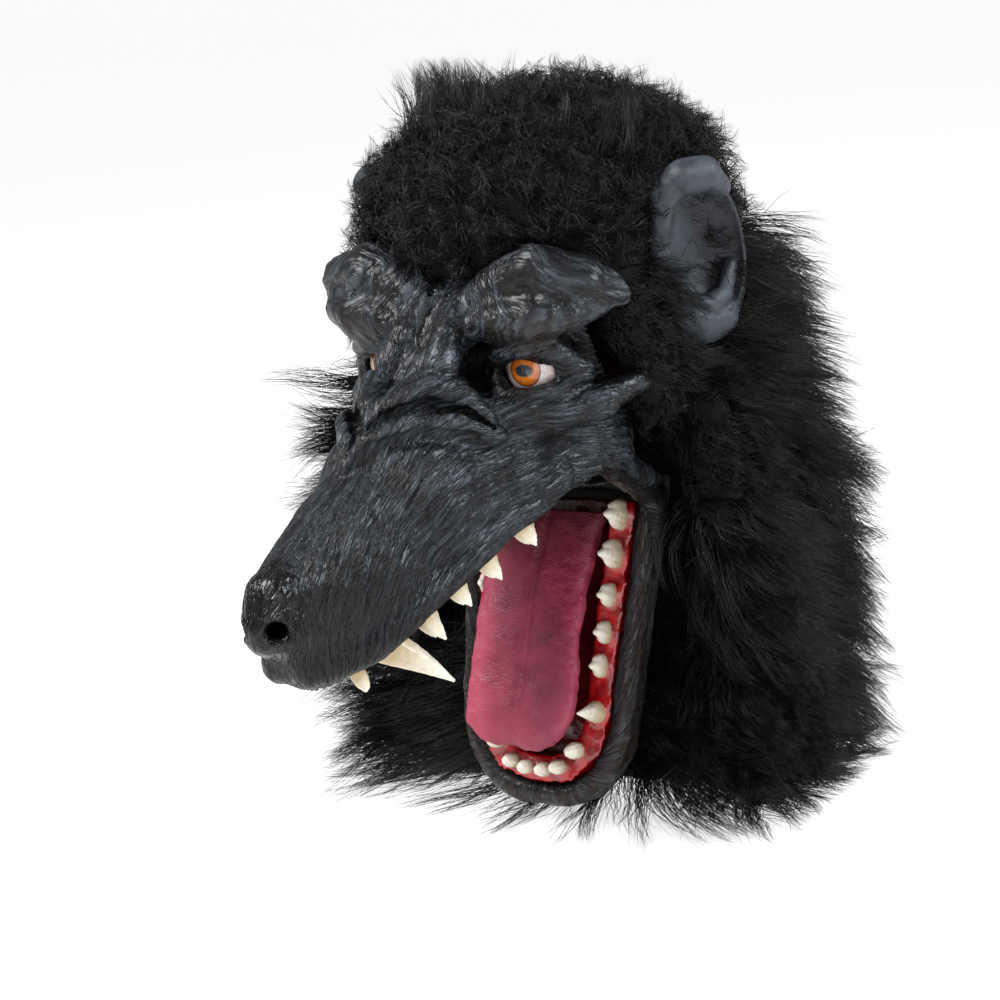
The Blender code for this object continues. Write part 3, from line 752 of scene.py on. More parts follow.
# Where the moulded hair runs on the face: places and directions, on the mask's left half
GRAIN = (
    ((14, -41, -39), (3, 26, 22)), ((24, -12, -18), (12, 20, 10)), ((45, 0, -8), (24, 3, 12)),
    ((66, -5, 0), (20, 8, 9)), ((84, 5, 6), (10, 12, 3)), ((24, -14, 4), (-2, 12, 12)),
    ((40, 2, 18), (12, 8, 9)), ((62, -2, 20), (14, 6, -3)), ((82, 4, 6), (8, 8, -7)),
    ((38, -8, -24), (25, 6, 14)), ((66, -3, -10), (14, 8, 12)), ((2, -20, -10), (-1, 20, 16)),
    ((5, -45, -32), (-2, 23, 17)), ((9, -22, -24), (-2, 16, 16)), ((0, -95, -62), (0, 18, 10)),
    ((3, -75, -46), (4, 14, 6)), ((14, -56, -40), (13, 14, -2)), ((28, -43, -48), (13, 8, -8)),
    ((38, -36, -60), (10, 14, 2)), ((8, -88, -58), (8, 16, 6)), ((20, -66, -53), (10, 19, 0)),
    ((30, -48, -58), (10, 14, -6)), ((5, -126, -78), (2, 26, 12)), ((16, -95, -66), (13, 20, 4)),
    ((32, -58, -64), (10, 25, 2)), ((46, -30, -62), (18, 22, 4)), ((15, -158, -104), (3, 24, 16)),
    ((18, -125, -82), (6, 26, 12)), ((34, -84, -80), (10, 28, 8)), ((48, -38, -76), (12, 26, 9)),
    ((60, -8, -66), (10, 18, 10)), ((20, -156, -126), (2, 14, 20)), ((27, -135, -112), (5, 18, 18)),
    ((33, -108, -103), (7, 24, 14)), ((42, -74, -96), (6, 26, 12)), ((50, -36, -88), (6, 26, 12)),
    ((55, -4, -84), (6, 20, 12)), ((30, -128, -132), (4, 24, 12)), ((40, -85, -115), (6, 26, 11)),
    ((50, -38, -100), (5, 26, 10)), ((57, 5, -90), (4, 26, 0)), ((63, 45, -100), (3, 20, -8)),
    ((40, -30, -50), (18, 8, -1)), ((58, -14, -50), (16, 10, 1)), ((74, 12, -50), (12, 18, 0)),
    ((84, 30, -50), (8, 20, 0)), ((70, 6, -62), (8, 12, 14)), ((72, 20, -75), (6, 16, 8)),
)  # fmt: skip
GRAIN_REACH = 9.0  # a place in the table counts most within this distance


def grain_flow(p):
    """Direction of the moulded hair, from its stations."""
    q = both_sides(p)
    total = np.zeros_like(q)
    for at, way in GRAIN:
        near = 1 / (((q - at) ** 2).sum(-1) + GRAIN_REACH**2) ** 2
        total += near[..., None] * (np.asarray(way, float) / np.linalg.norm(way))
    total[..., 0] *= np.where(p[..., 0] < 0, -1, 1)
    return total / np.maximum(np.linalg.norm(total, axis=-1), TINY)[..., None]


# Snarl folds over the muzzle, raised by FOLD_RAISE, and the grooves beside them and between the brows
FOLD_RAISE = 2.5
FOLDS = (
    (((0, -83, -55), 4), ((4, -74, -46), 6.5), ((14, -56, -39), 8), ((27, -43, -46), 7.5), ((38, -38, -59), 5)),
    (((0, -104, -67), 3), ((6, -92, -58), 6), ((18, -74, -54), 7), ((31, -53, -58), 7), ((42, -36, -67), 5)),
)
FOLD_GROOVES = (
    (((0, -93, -56), 2), ((9, -80, -47), 3.6), ((20, -62, -45), 4.2), ((32, -47, -52), 3.6), ((41, -40, -60), 1.5)),
    (((3, -112, -65), 1.5), ((12, -96, -56), 2.6), ((27, -73, -55), 3.2), ((40, -52, -62), 2.4)),
    (((6, -30, -22), 1), ((7, -20, -12), 2.6), ((6, -10, 2), 1.5)),
    (((19, -24, -20), 1.5), ((22, -18, -30), 2.8), ((24, -14, -38), 2)),
)
NOSTRIL = (10, -181, -120), (5, 9, 5)
NOSTRIL_SLIT = (((11, -181, -122), 3.5), ((17, -175, -124), 2.5), ((21, -166, -121), 1.2))
NOSE_CREASES = (
    (((0, -166, -92), 0.8), ((8, -165, -94), 1.5), ((14, -161, -98), 0.8)),
    (((0, -187, -116), 0.8), ((0, -184, -132), 1.6), ((0, -175, -146), 2.0)),
)
BROW_SLIT = (((36, -6, 14), 1), ((46, -6, 19), 2.4), ((56, -5, 18), 1))
# Flesh between the brow and the nose's bridge, and hanging over the eye
LOBES = (((8, -12, -4), 6), ((13, -29, -17), 8), ((15, -40, -30), 9), ((16, -44, -44), 6))
BROW_MASS = (((21, -17, -15), 7), ((36, -16, -12), 11), ((52, -13, -11), 12), ((66, -5, -9), 11), ((76, 8, -8), 7))
BROW_TAPER, BROW_LAP = 2.2, 5.0  # the face's upper edge falls off slower outwards, and laps under the fur
LID_INSIDE, LID_OUTSIDE = 0.5, 2.6  # the lids' shell, over the eye's radius
OUTER_SIDE = -1.6  # nearer the outside than this, the latex is its outer side


def brow_edge(x):
    """The face's upper edge, under the crown's fur."""
    x = np.abs(x)
    spread = np.where(x > BROW_TOP_X, BROW_TAPER * BROW_SPREAD, BROW_SPREAD)
    return BROW_TOP * np.exp(-(((x - BROW_TOP_X) / spread) ** 2)) + BROW_LAP


def face_detail(p):
    """The face's form with its snarl folds, brow furrows and worn-in lumps."""
    q = both_sides(p)
    form = soft_union(soft_union(face_form(p), tube(q, LOBES), 5), tube(q, BROW_MASS), 6)
    for stations in FOLDS:
        form = soft_union(form, tube(q + (0, 0, -FOLD_RAISE), stations), 3)
    for stations in FOLD_GROOVES:
        form = -soft_union(-form, tube(q, stations) - 1.0, 1.8)
    for stations in (*NOSE_CREASES, BROW_SLIT):
        form = -soft_union(-form, tube(q, stations), 2.5)
    return form


def eye_opening(x, z):
    """The gap between the lids: higher by the nose, with a curved lower edge."""
    across = np.abs(x) - EYE[0]
    top = EYE[2] + 7.5 + np.where(across < 0, 0.42, -0.28) * across
    foot = EYE[2] - 8.5 + 0.012 * across**2
    return within(z - top, foot - z, np.abs(across - 1) - 15)


def face_visual(p):
    x, y, z = np.moveaxis(p, -1, 0)
    form = face_detail(p)
    q = both_sides(p)
    eye_room = ball(q, EYE, (EYE_RADIUS + LID_INSIDE,) * 3)
    lid = within(ball(q, EYE, (EYE_RADIUS + LID_OUTSIDE,) * 3), -eye_room, -eye_opening(x, z), y - 12)
    skin = soft_union(within(form, -(form + SKIN)), lid, 2.0)
    nostril = soft_union(ball(q, *NOSTRIL), tube(q, NOSTRIL_SLIT), 3)
    edges = within(lip_line(y) - LIP_EDGE - z, y - face_back(z) - 3, z - brow_edge(x))
    return within(skin, edges, -eye_room, -nostril)


HAIR_RUN, HAIR_WANDER = 26.0, 9.0  # lengths over which a groove ends and over which it bends


def grooved(points, quads, field, flow, spacing, depth, outer, seed):
    """Splits and settles a surface, then cuts hair grooves into its outer side.

    Returns the points, quads and other faces, each point's place across the hair, and how high it
    lies between the grooves.
    """
    fixed, normals = settled(points, field, 1)
    strand = across_flow(fixed, quads, normals, flow(fixed), outer(fixed))
    chosen = outer(fixed[quads].mean(1))
    ends = np.sort(np.stack([quads, np.roll(quads, -1, 1)], -1), -1)[chosen].reshape(-1, 2)
    keys = np.unique(ends[:, 0] * len(fixed) + ends[:, 1])
    pairs = np.stack([keys // len(fixed), keys % len(fixed)], -1)
    strand = np.concatenate([strand, strand[pairs].mean(1), strand[quads[chosen]].mean(1)])
    fine, quads, odd = split(fixed, quads, chosen)
    fine, normals = settled(fine, field, 2)
    slow = fine / HAIR_RUN
    wander = 0.7 * noise(fine / HAIR_WANDER, seed + 9)
    lines = noise(np.stack([strand / spacing + wander, slow[:, 1] + slow[:, 0], slow[:, 2]], -1), seed)
    finer = noise(np.stack([strand / spacing * 2.1, slow[:, 1] * 2, slow[:, 2] * 2], -1), seed + 1)
    height = 1 - np.exp(-((lines / 0.28) ** 2)) + 0.35 * (1 - np.exp(-((finer / 0.3) ** 2)))
    outside = outer(fine)
    swell = layered(fine / 7.0, seed + 3, 2)
    move = np.where(outside, depth * (height - 1.0) + 0.35 * swell, 0)
    ridge = np.where(outside, np.clip(height / 1.35, 0, 1), 0)
    return fine + normals * move[:, None], quads, odd, strand, ridge


def add_face(surface):
    def outer(p):
        return face_form(p) > OUTER_SIDE

    points, quads = mesh_of(face_visual, (-105, -196, -172), (105, 72, 46), FACE_CELL, symmetric=True)
    points, quads, odd, strand, ridge = grooved(points, quads, face_visual, grain_flow, 1.5, 0.75, outer, 11)
    x, y, z = np.abs(points[:, 0]), points[:, 1], points[:, 2]
    nose = np.clip(1 - np.maximum(np.hypot(x / 24, (y + 180) / 22), np.abs(z + 116) / 40) ** 4, 0, 1)
    front = fade(-y, 60, 120) * fade(-z, 70, 100)
    brown = np.clip(1 - np.hypot((x - 56) / 26, (z + 17) / 12), 0, 1) * (y < 25)
    from_eye = np.linalg.norm(np.stack([x, y, z], -1) - EYE, axis=1)
    by_eye = np.clip(1.6 - from_eye / EYE_RADIUS, 0, 0.5) * 2
    # socket keeps the ridge paint off the eye's inner corner: painted shade in that recess.
    socket = np.clip(1.3 - np.hypot((x - 24) / 12, (z + 36) / 12), 0, 1) * (y > -34)
    lip = np.clip((lip_line(y) - LIP_EDGE - z + 3.5) / 3, 0, 1)
    # grey: how much dry-brush and painted highlight a place gets.
    grey = np.clip(1 - 0.75 * front - nose, 0.05, 1) * (1 - lip) * (1 - by_eye) * (1 - socket)
    gloss = np.clip(nose + 0.6 * lip + 0.25 * front, 0, 1)
    values = {"strand": strand, "ridge": ridge * (1 - nose), "grey": grey, "brown": brown, "gloss": gloss}
    add_piece("face_latex", points, quads, "head", ("face_skin",), (surface,), values, odd)


def jaw_flow(p):
    along = np.array((0.0, -math.cos(JAW_DROOP), -math.sin(JAW_DROOP)))
    return np.broadcast_to(along, p.shape).copy()


def jaw_visual(p):
    x, s, n = jaw_axes(p)
    lumps = 1.6 * layered(p / 16.0, 31, 2)
    form = jaw_form(x, s, n) + 0.5 * lumps
    skin = within(form, -(form + SKIN), n)
    rim = jaw_rim(x, s, n) + 0.7 * lumps
    fold = np.hypot(jaw_plan(x, s) + 2.5, n + 9) - 3.2 + 0.5 * lumps
    return within(soft_union(soft_union(skin, rim, 2), fold, 3), JAW_START - s)


def add_jaw(surface):
    def outer(p):
        x, s, n = jaw_axes(p)
        return (jaw_form(x, s, n) > -3.0) | (n > -4)

    points, quads = mesh_of(jaw_visual, (-72, 4, -318), (72, 120, -104), JAW_CELL)
    points, quads, odd, strand, ridge = grooved(points, quads, jaw_visual, jaw_flow, 2.2, 0.5, outer, 23)
    x, s, n = jaw_axes(points)
    band = fade(jaw_plan(x, s), -7.5, -3.5) * fade(n, -11, -7)
    values = {"strand": strand, "ridge": ridge, "grey": 0.35 + 0.4 * band, "brown": band * 1.3,
              "gloss": np.full(len(points), 0.3)}  # fmt: skip
    add_piece("jaw_latex", points, quads, "jaw", ("jaw_skin",), (surface,), values, odd)


def rooted(p, teeth, swell):
    """Bumps of gum around the roots of the teeth."""
    reach = (1.0, 1.0, 0.8)
    bumps = (ball(p, base, [radius + swell * share for share in reach]) for base, radius in teeth)
    return functools.reduce(np.minimum, bumps)


def lower_up():
    return np.array((0.0, -math.sin(JAW_DROOP), math.cos(JAW_DROOP)))


def upper_places():
    """Each upper tooth's name, base, tip and radius, on the mask's left."""
    for name, y, length, radius, lean in UPPER_TEETH:
        row_x = float(UPPER_INCISOR_X.get(name, np.interp(y, LIP_Y, LIP_HALF_WIDTH) - GUM_WIDTH / 2))
        down = LIP_EDGE + GAP + LIP_SLOPE * radius
        base = np.array((row_x, y, float(lip_line(y)) - down + SUNK.get(name, 0.0)))
        lean *= 1.5 if name == "canine" else 1.1
        aim = np.array((lean * 0.62, 0.55 * lean, -1.0))
        yield name, base, base + aim / np.linalg.norm(aim) * length, radius


def lower_places():
    inset = 2 * RIM_RADIUS + LOWER_GUM_WIDTH / 2
    for name, s, length, radius, lean in LOWER_TEETH:
        row_x = float(LOWER_INCISOR_X.get(name, float(jaw_half_width(np.float64(s))) - inset))
        base = jaw_point(row_x, s, GUM_TOP + 0.5)
        yield name, base, jaw_point(row_x + lean * length, s, GUM_TOP + 0.5 + length), radius


def upper_gum(p):
    base = upper_mouth_lining(p) + 0.9 * layered(p / 9.0, 41, 2)
    roots = [(root + (0, 0, 1.0), radius) for _, root, _, radius in upper_places()]
    gum = soft_union(base, rooted(both_sides(p), roots, 0.9), 4)
    return within(gum, np.where(p[..., 1] < CURTAIN[1] - 1, face_form(p) + SKIN + 0.3, -1e3))


def lower_gum(p):
    x, s, n = jaw_axes(p)
    base = lower_mouth_lining(p) + 1.1 * layered(p / 8.0, 43, 2)
    roots = [(root - lower_up() * 2.5, radius) for _, root, _, radius in lower_places()]
    gum = soft_union(base, rooted(both_sides(p), roots, 1.0), 4)
    return within(gum, jaw_form(x, s, n) + SKIN + 0.4, 0.3 - jaw_rim(x, s, n))


def add_gums(surface):
    def add(name, body, node, points, quads, paint, painted_shade):
        values = {"paint": paint, "painted_shade": np.clip(painted_shade, 0, 1)}
        add_piece(name, points, quads, body, (node,), (surface,), values)

    points, quads = mesh_of(upper_gum, (-72, -176, -176), (72, 96, -36), 1.8)
    points, _ = settled(points, upper_gum, 2)
    y, z = points[:, 1], points[:, 2]
    # painted shade: darker up in the palate and towards the throat.
    painted_shade = fade(z - lip_line(y, corner=False), -2, 10) * 0.9 + fade(y, 40, 80)
    add("upper_gum_latex", "head", "upper_mouth_lining", points, quads, np.full(len(points), 8.0), painted_shade)
    points, quads = mesh_of(lower_gum, (-62, 10, -302), (62, 112, -114), 1.5)
    points, _ = settled(points, lower_gum, 2)
    x, s, n = jaw_axes(points)
    paint = np.minimum(1.0 - jaw_plan(x, s) - 2 * RIM_RADIUS, 10)
    # painted shade: darker down in the jaw's trough and towards the throat.
    painted_shade = np.clip(-n / 14, 0, 0.75) + np.clip((14 - s) / 30, 0, 0.6)
    add("lower_gum_latex", "jaw", "lower_mouth_lining", points, quads, paint, painted_shade)


def tongue_visual(p):
    """The tongue: it lies a little to one side, waves along its length and has a wandering groove."""
    x, s, n = jaw_axes(p)
    t = np.clip(s, 0, None) / TONGUE_LENGTH
    x = x + 5.0 * np.clip(3 * t, 0, 1)
    middle = -2.0 + TONGUE_RISE * t**0.8 + 1.5 * np.sin(5 * t) + 0.006 * x**2 * np.clip(2 * t, 0, 1)
    end = np.maximum(s - TONGUE_LENGTH + TONGUE_TIP, 0) / (TONGUE_TIP + 2)
    edge = 0.8 * noise(np.stack([s / 17, x * 0, x * 0 + 3.5], -1), 5)
    half_width = TONGUE_HALF_WIDTH * (1.12 - 0.06 * np.cos(4 * t)) + edge
    power = 2.4
    size = np.abs(x / half_width) ** power + np.abs((n - middle) / TONGUE_HALF_DEPTH) ** power + end**power
    groove = 3.4 * np.exp(-(((x - 1.5 * np.sin(3 * t)) / 3.4) ** 2)) * (n > middle) * (0.5 + 0.5 * np.cos(2.2 * t))
    lumps = 0.9 * layered(p / 11.0, 51, 3)
    return within((size ** (1 / power) - 1) * TONGUE_HALF_DEPTH + groove * 0.75 + lumps, 3 - s)


def refined(points, quads, field):
    """The surface settled, cut in four and settled again."""
    points, _ = settled(points, field, 1)
    points, quads, _ = split(points, quads)
    return settled(points, field, 1)[0], quads


def add_tongue(surface):
    points, quads = refined(*mesh_of(tongue_visual, (-36, -18, -284), (36, 96, -118), 1.5), tongue_visual)
    x, s, _ = jaw_axes(points)
    edge = fade(np.abs(x) / TONGUE_HALF_WIDTH, 0.62, 1) ** 1.5 + 0.5 * fade(s, 95, 135)
    # painted shade on the root, towards the throat.
    values = {"edge": np.clip(edge, 0, 1) * 0.8, "painted_shade": fade(s, 40, -6)}
    add_piece("tongue_latex", points, quads, "tongue", ("tongue",), (surface,), values)


ROOT_DEPTH = 3.0  # of a tooth in its gum


def handed(side, points, quads):
    """The surface as it is for the left side, or mirrored for the right."""
    return (points, quads) if side > 0 else (points * (-1, 1, 1), quads[:, ::-1])


def tooth_field(base, tip, radius, kind, turn):
    """A tooth as blended, tapering and curving cones from its root to its cusps."""
    length = np.linalg.norm(tip - base)
    axis = (tip - base) / length
    row = np.cross(axis, turn)
    row /= np.linalg.norm(row)
    side = np.cross(row, axis)
    root = base - axis * ROOT_DEPTH
    blunt = 0.8 if kind == "canine" or base[1] < 0 else 1.7

    def cone(foot, top, wide, bow, power):
        steps = ((foot + (top - foot) * t + bow * math.sin(math.pi * t), t) for t in np.linspace(0, 1, 7))
        return [(tuple(at), wide * (1 - t**power) + blunt * t) for at, t in steps]

    if kind == "canine":
        cones = [cone(root, tip - axis * 0.9, radius * 1.22, side * length * 0.05, 1.15)]
    elif kind == "incisor":
        short = 0.95 if base[1] > 0 else 0.0 if base[1] < -140 else 0.75
        cones = [cone(root, base + axis * length * short, radius * 1.05, side * 0.3, 3.2)]
    else:
        cones = [cone(root, base + axis * length * 0.9, radius * 0.92, side * 0.4, 2.0)]
        for way, tall in ((-0.8, 0.5), (0.75, 0.62)):
            foot = root + row * radius * way
            cones.append(cone(foot, foot + axis * (3.0 + length * tall), radius * 0.68, side * 0.2, 2.6))

    def field(p):
        value = functools.reduce(lambda a, b: soft_union(a, b, 1.6), (tube(p, stations) for stations in cones))
        flutes = 0.12 * np.sin(1.3 * ((p - base) @ row) + 1.9 * ((p - base) @ side))
        return within(value + flutes, -((p - root) @ axis))

    return field, axis, length


def add_teeth(surface):
    for level, places, body in (("upper", upper_places, "head"), ("lower", lower_places, "jaw")):
        for name, base, tip, radius in places():
            kind = "canine" if name == "canine" else "incisor" if "incisor" in name else "cheek"
            for side, word in ((1, "left"), (-1, "right")):
                turn = np.array((0.0, 1.0, 0.2) if kind == "incisor" else (1.0, 0.2 * side, 0.0))
                field, axis, length = tooth_field(base, tip, radius, kind, turn)
                reach, foot = radius + 4, base - axis * 5
                low, high = np.minimum(foot, tip) - reach, np.maximum(foot, tip) + reach
                points, quads = mesh_of(field, low, high, 0.9 if kind == "canine" else 0.7)
                points, _ = settled(points, field, 1)
                along = np.clip(((points - base) @ axis) / length, 0, 1)
                node = f"{level}_{name}_{word}"
                at, faces = handed(side, points, quads)
                add_piece(node + "_crown", at, faces, body, (node,), (surface,), {"along": along})


def add_eyes(surface):
    """Eyeballs in rings about the gaze, each point with its angle off it for the painted iris."""
    rings, sides, reach = 56, 72, 2.2
    tilt = math.radians(3)
    for side, word in ((1, "left"), (-1, "right")):
        turn = math.radians(6 * side)
        axis = np.array((math.sin(turn) * math.cos(tilt), -math.cos(turn) * math.cos(tilt), math.sin(tilt)))
        right = np.cross((0, 0, 1.0), -axis)
        right /= np.linalg.norm(right)
        up = np.cross(right, axis) * -1
        centre = np.array((EYE[0] * side, EYE[1], EYE[2]))
        points, off, spoke, pupil = [centre + axis * (EYE_RADIUS - 0.1)], [0.0], [0.0], [0.0]
        for ring in range(1, rings + 1):
            angle = reach * ring / rings
            bulge = 0.6 * math.exp(-((angle / 0.45) ** 4))
            for k in range(sides):
                around = 2 * math.pi * k / sides
                cos, sin = math.cos(around), math.sin(around)
                way = math.cos(angle) * axis + math.sin(angle) * (cos * right + sin * up)
                points.append(centre + way * (EYE_RADIUS - 0.5 + bulge))
                off.append(angle)
                spoke.append(abs(math.sin(around * 1.5)) * 2 + around / math.pi)
                pupil.append(math.hypot(math.sin(angle) * cos / 0.26, math.sin(angle) * sin / 0.16))
        faces = [[0, 1 + k, 1 + (k + 1) % sides] for k in range(sides)]
        for ring in range(rings - 1):
            for k in range(sides):
                a, b = 1 + ring * sides + k, 1 + ring * sides + (k + 1) % sides
                faces.append([a, a + sides, b + sides, b])
        faces.append([1 + (rings - 1) * sides + k for k in range(sides)][::-1])
        points = np.array(points)
        by_nose = EYE[0] - np.abs(points[:, 0])
        values = {"off_axis": off, "spoke": spoke, "pupil": pupil, "red": fade(by_nose, 7, 14)}
        add_piece(f"eyeball_{word}", points, np.zeros((0, 4), int), "head", (f"eye_{word}",),
                  (surface,), values, faces)  # fmt: skip


def ear_visual(p):
    q = ear_axes(p)
    shell = ball(q, (0, 0, 0), EAR_SIZE)
    cup = ball(q, (9, 2, 2), (15, EAR_SIZE[1] - 5, EAR_SIZE[2] - 9))
    fold = tube(q, (((0, -16, 34), 6), ((6, -6, 41), 9.5), ((9, 6, 40), 9), ((6, 16, 30), 6)))
    root = tube(q, (((-2, -14, -30), 9), ((0, 6, -36), 9)))
    inner = tube(q, (((2, -16, -20), 4), ((4, -4, -26), 5), ((4, 8, -24), 5), ((2, 17, -12), 4)))
    body = soft_union(soft_union(np.maximum(shell, -cup), fold, 4), root, 6)
    return soft_union(body, inner, 3) + 0.8 * layered(p / 8.0, 61, 3)


def add_ears(surface):
    points, quads = refined(*mesh_of(ear_visual, (48, 18, -62), (142, 142, 70), 1.7), ear_visual)
    out, across, _ = ear_axes(points).T
    # painted shade from the fur over the ear's back half, inside the cup and behind it.
    grey = np.clip(1.1 - fade(across, -8, 6) * (out < 5) * 0.85, 0.1, 1)
    for side, word in ((1, "left"), (-1, "right")):
        at, faces = handed(side, points, quads)
        add_piece(f"ear_{word}_latex", at, faces, "head", (f"ear_{word}",), (surface,), {"grey": grey})


CORNER_FOLDS = (
    (((58, 24, -94), 4), ((61, 45, -105), 5), ((61, 64, -116), 5.5), ((60, 78, -124), 6), ((60, 74, -142), 5)),
    (((55, 40, -104), 3), ((57, 60, -116), 4), ((55, 76, -126), 5)),
)
CORNER_START, CORNER_END = (0, 52, -108), (0, 76, -124)  # places on the lip line behind the mouth's corner and above the jaw's root


def corner_web(p):
    """Folded latex between the lip's corner and the jaw's rim."""
    outer, inner = (tube(both_sides(p), stations) for stations in CORNER_FOLDS)
    return soft_union(outer, inner, 4) + 1.2 * layered(p / 7.0, 71, 2)


def add_corners(surface):
    points, quads = mesh_of(corner_web, (40, 12, -156), (76, 96, -84), 1.5)
    points, _ = settled(points, corner_web, 1)
    for side, word in ((1, "left"), (-1, "right")):
        at, faces = handed(side, points, quads)
        values = {"strand": at[:, 1] * 0.8 + at[:, 2]}
        for key, value in (("ridge", 0.5), ("grey", 0.35), ("brown", 0.3), ("gloss", 0.4)):
            values[key] = np.full(len(at), value)
        obj = add_piece(f"mouth_corner_{word}", at, faces, None, (), (surface,), values)
        tuple(place(CORNER_START))
        tuple(place(CORNER_END))
        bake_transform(obj)


# ---- fur ----------------------------------------------------------------------------------------

FUR_INSET, CROWN_INSET, BIB_INSET = 13.0, 8.0, 9.0  # of the backing, under the fur's outside
EDGE_INSET = 1.5  # beside the face
TEMPLE = (56, 54, -28), (35, 48, 62)  # fur between the eye's corner and the ear
BACKING_EXTRA = 3.0  # the backing reaches this far inside the pile
# Each panel's name, CAD node and box
PANELS = (
    ("crown", "hood_crown", (-110, -24, -2), (110, 206, 112)),
    ("side_left", "hood_side_left", (62, -24, -308), (152, 176, 12)),
    ("side_right", "hood_side_right", (-152, -24, -308), (-62, 176, 12)),
    ("back", "hood_back", (-142, 120, -308), (142, 248, 12)),
    ("bib", "hood_bib", (-80, 66, -308), (80, 152, -126)),
)
HAIR_SIDES, HAIR_SEGMENTS = 3, 6
STRANDS_IN_PIECE = 5800
HAIR_RADIUS, CROWN_HAIR_RADIUS = 0.25, 0.23
LOCK_SPACING, CROWN_LOCK_SPACING = 6.2, 4.6
# Tufts that stand out: middle, scatter, direction, number of locks, shortest and longest
TUFTS = (
    ((-20, 44, 74), 12, (-0.25, 0.20, 1.0), 60, 32, 56),
    ((62, 60, 60), 10, (0.2, 0.05, 1.0), 22, 22, 38),
    ((-110, 70, -92), 13, (-0.5, -0.85, 0.12), 46, 46, 76),
    ((-112, 72, -130), 14, (-0.5, -0.85, 0.0), 46, 46, 80),
    ((-110, 70, -205), 18, (-0.5, -0.85, -0.1), 60, 50, 84),
    ((-106, 70, -262), 16, (-0.5, -0.85, -0.15), 60, 50, 84),
    ((112, 92, -170), 22, (0.75, -0.2, -0.35), 60, 40, 66),
)


def in_bib(x, y, z):
    return (np.abs(x) < SIDE_SEAM) & (y < BIB_DEPTH) & (z < BIB_TOP + 5)


def fur_root(p):
    """Distance outside the skin that the fur grows from."""
    x, y, z = np.moveaxis(p, -1, 0)
    outer = soft_union(outline(p, 0), tube(both_sides(p), RUFF), 14)
    inset = FUR_INSET + (CROWN_INSET - FUR_INSET) * fade(z, -20, 20)
    near = fade(y - face_back(z), 0, 45)
    inset = np.where(z > FACE_FOOT - 10, EDGE_INSET + (inset - EDGE_INSET) * near, inset)
    temple = within(ball(both_sides(p), *TEMPLE), face_back(z) + 1 - y, 48 - np.abs(x), z - 34, FACE_FOOT + 6 - z)
    return np.minimum(outer + np.where(in_bib(x, y, z), BIB_INSET, inset), temple)


def backing(p, panel):
    x, y, z = np.moveaxis(p, -1, 0)
    pile = np.where(in_bib(x, y, z), BIB_PILE, np.where(z > CROWN_SEAM, CROWN_PILE, PILE))
    face = within(z - brow_line(x) - 1, y - face_back(z) - 1, FACE_FOOT - z)
    shell = within(fur_root(p), -outline(p, pile + BACKING_EXTRA), -face, 1.0 - ear(both_sides(p)))
    below_crown, behind_bib = z - CROWN_SEAM, BIB_DEPTH - 10 - y
    limits = {
        "crown": -below_crown,
        "side_left": within(below_crown, SIDE_SEAM - x, y - BACK_SEAM),
        "side_right": within(below_crown, SIDE_SEAM + x, y - BACK_SEAM),
        "back": within(below_crown, np.minimum(BACK_SEAM - y, within(np.abs(x) - SIDE_SEAM, behind_bib))),
        "bib": within(np.abs(x) - SIDE_SEAM, z - BIB_TOP, y - BIB_DEPTH),
    }[panel]
    return within(shell, limits, 1 - PEAK_HEIGHT - z)


def unit(v):
    return v / np.maximum(np.linalg.norm(v, axis=-1, keepdims=True), TINY)


def hair_lie(p):
    """Which way the fur lies at each place.

    It hangs outwards, back and down, but comes forward at the front of the mask's right side and
    under the jaw, and spreads forward over the floor at the hem.
    """
    x, y, z = p.T
    side = np.clip(x / 60, -1, 1)
    back, low, under = fade(y, 150, 190), fade(-z, 60, 260), np.clip(1 - np.abs(x) / 70, 0, 1)
    front = fade(y, 110, 70) * (z < -60)
    right = np.where(x < 0, 1.0, 0.0)
    outwards = side * (0.95 - 0.55 * back - 0.35 * front * right)
    backwards = 0.7 - front * (0.35 + 1.25 * right + 0.9 * under)
    upwards = -0.30 - 0.3 * low - 0.5 * back + 0.3 * front * right
    hem = fade(-z, 190, 240) * np.clip((135 - y) / 30, 0, 1)
    lie = np.stack([outwards, backwards, upwards], -1)
    return unit(lie + hem[:, None] * np.stack([0.5 * side, -1.3 + 0 * x, 0.55 + 0 * x], -1))


def grow(rng, roots, normals, panel):
    """Guides for locks of fur: where each starts, how it leaves, how it ends, its length and curl."""
    count = len(roots)
    lie = hair_lie(roots)
    lie = unit(lie - 0.65 * (lie * normals).sum(1, keepdims=True) * normals)
    jitter = rng.normal(size=(count, 3))
    x, y, z = roots.T
    if panel == "crown":
        leave = unit(normals * 0.9 + 0.55 * jitter + 0.2 * lie)
        finish = unit(0.5 * normals + 1.0 * rng.normal(size=(count, 3)) + 0.35 * lie)
        length = rng.uniform(13, 22, count) + 14 * fade(z, 12, -8) + 10 * fade(y, 120, 170)
        return leave, finish, length, rng.uniform(2.0, 4.4, count)
    leave = unit(normals * 0.9 + 0.6 * lie + 0.2 * jitter)
    finish = unit(0.16 * normals + 1.0 * lie + 0.22 * jitter + (0, 0, -0.12))
    length = rng.uniform(44, 78, count) * np.where(x > 60, 0.86, 1.12)
    if panel == "bib":
        length = rng.uniform(40, 66, count) + 46 * fade(-z, 190, 250)
    elif panel.startswith("side"):
        by_face = np.clip((y - face_back(z)) / 60, 0.22, 1)
        length = length * np.where(z > FACE_FOOT, by_face, 1.0)
    return leave, finish, length, rng.uniform(0.6, 2.6, count)


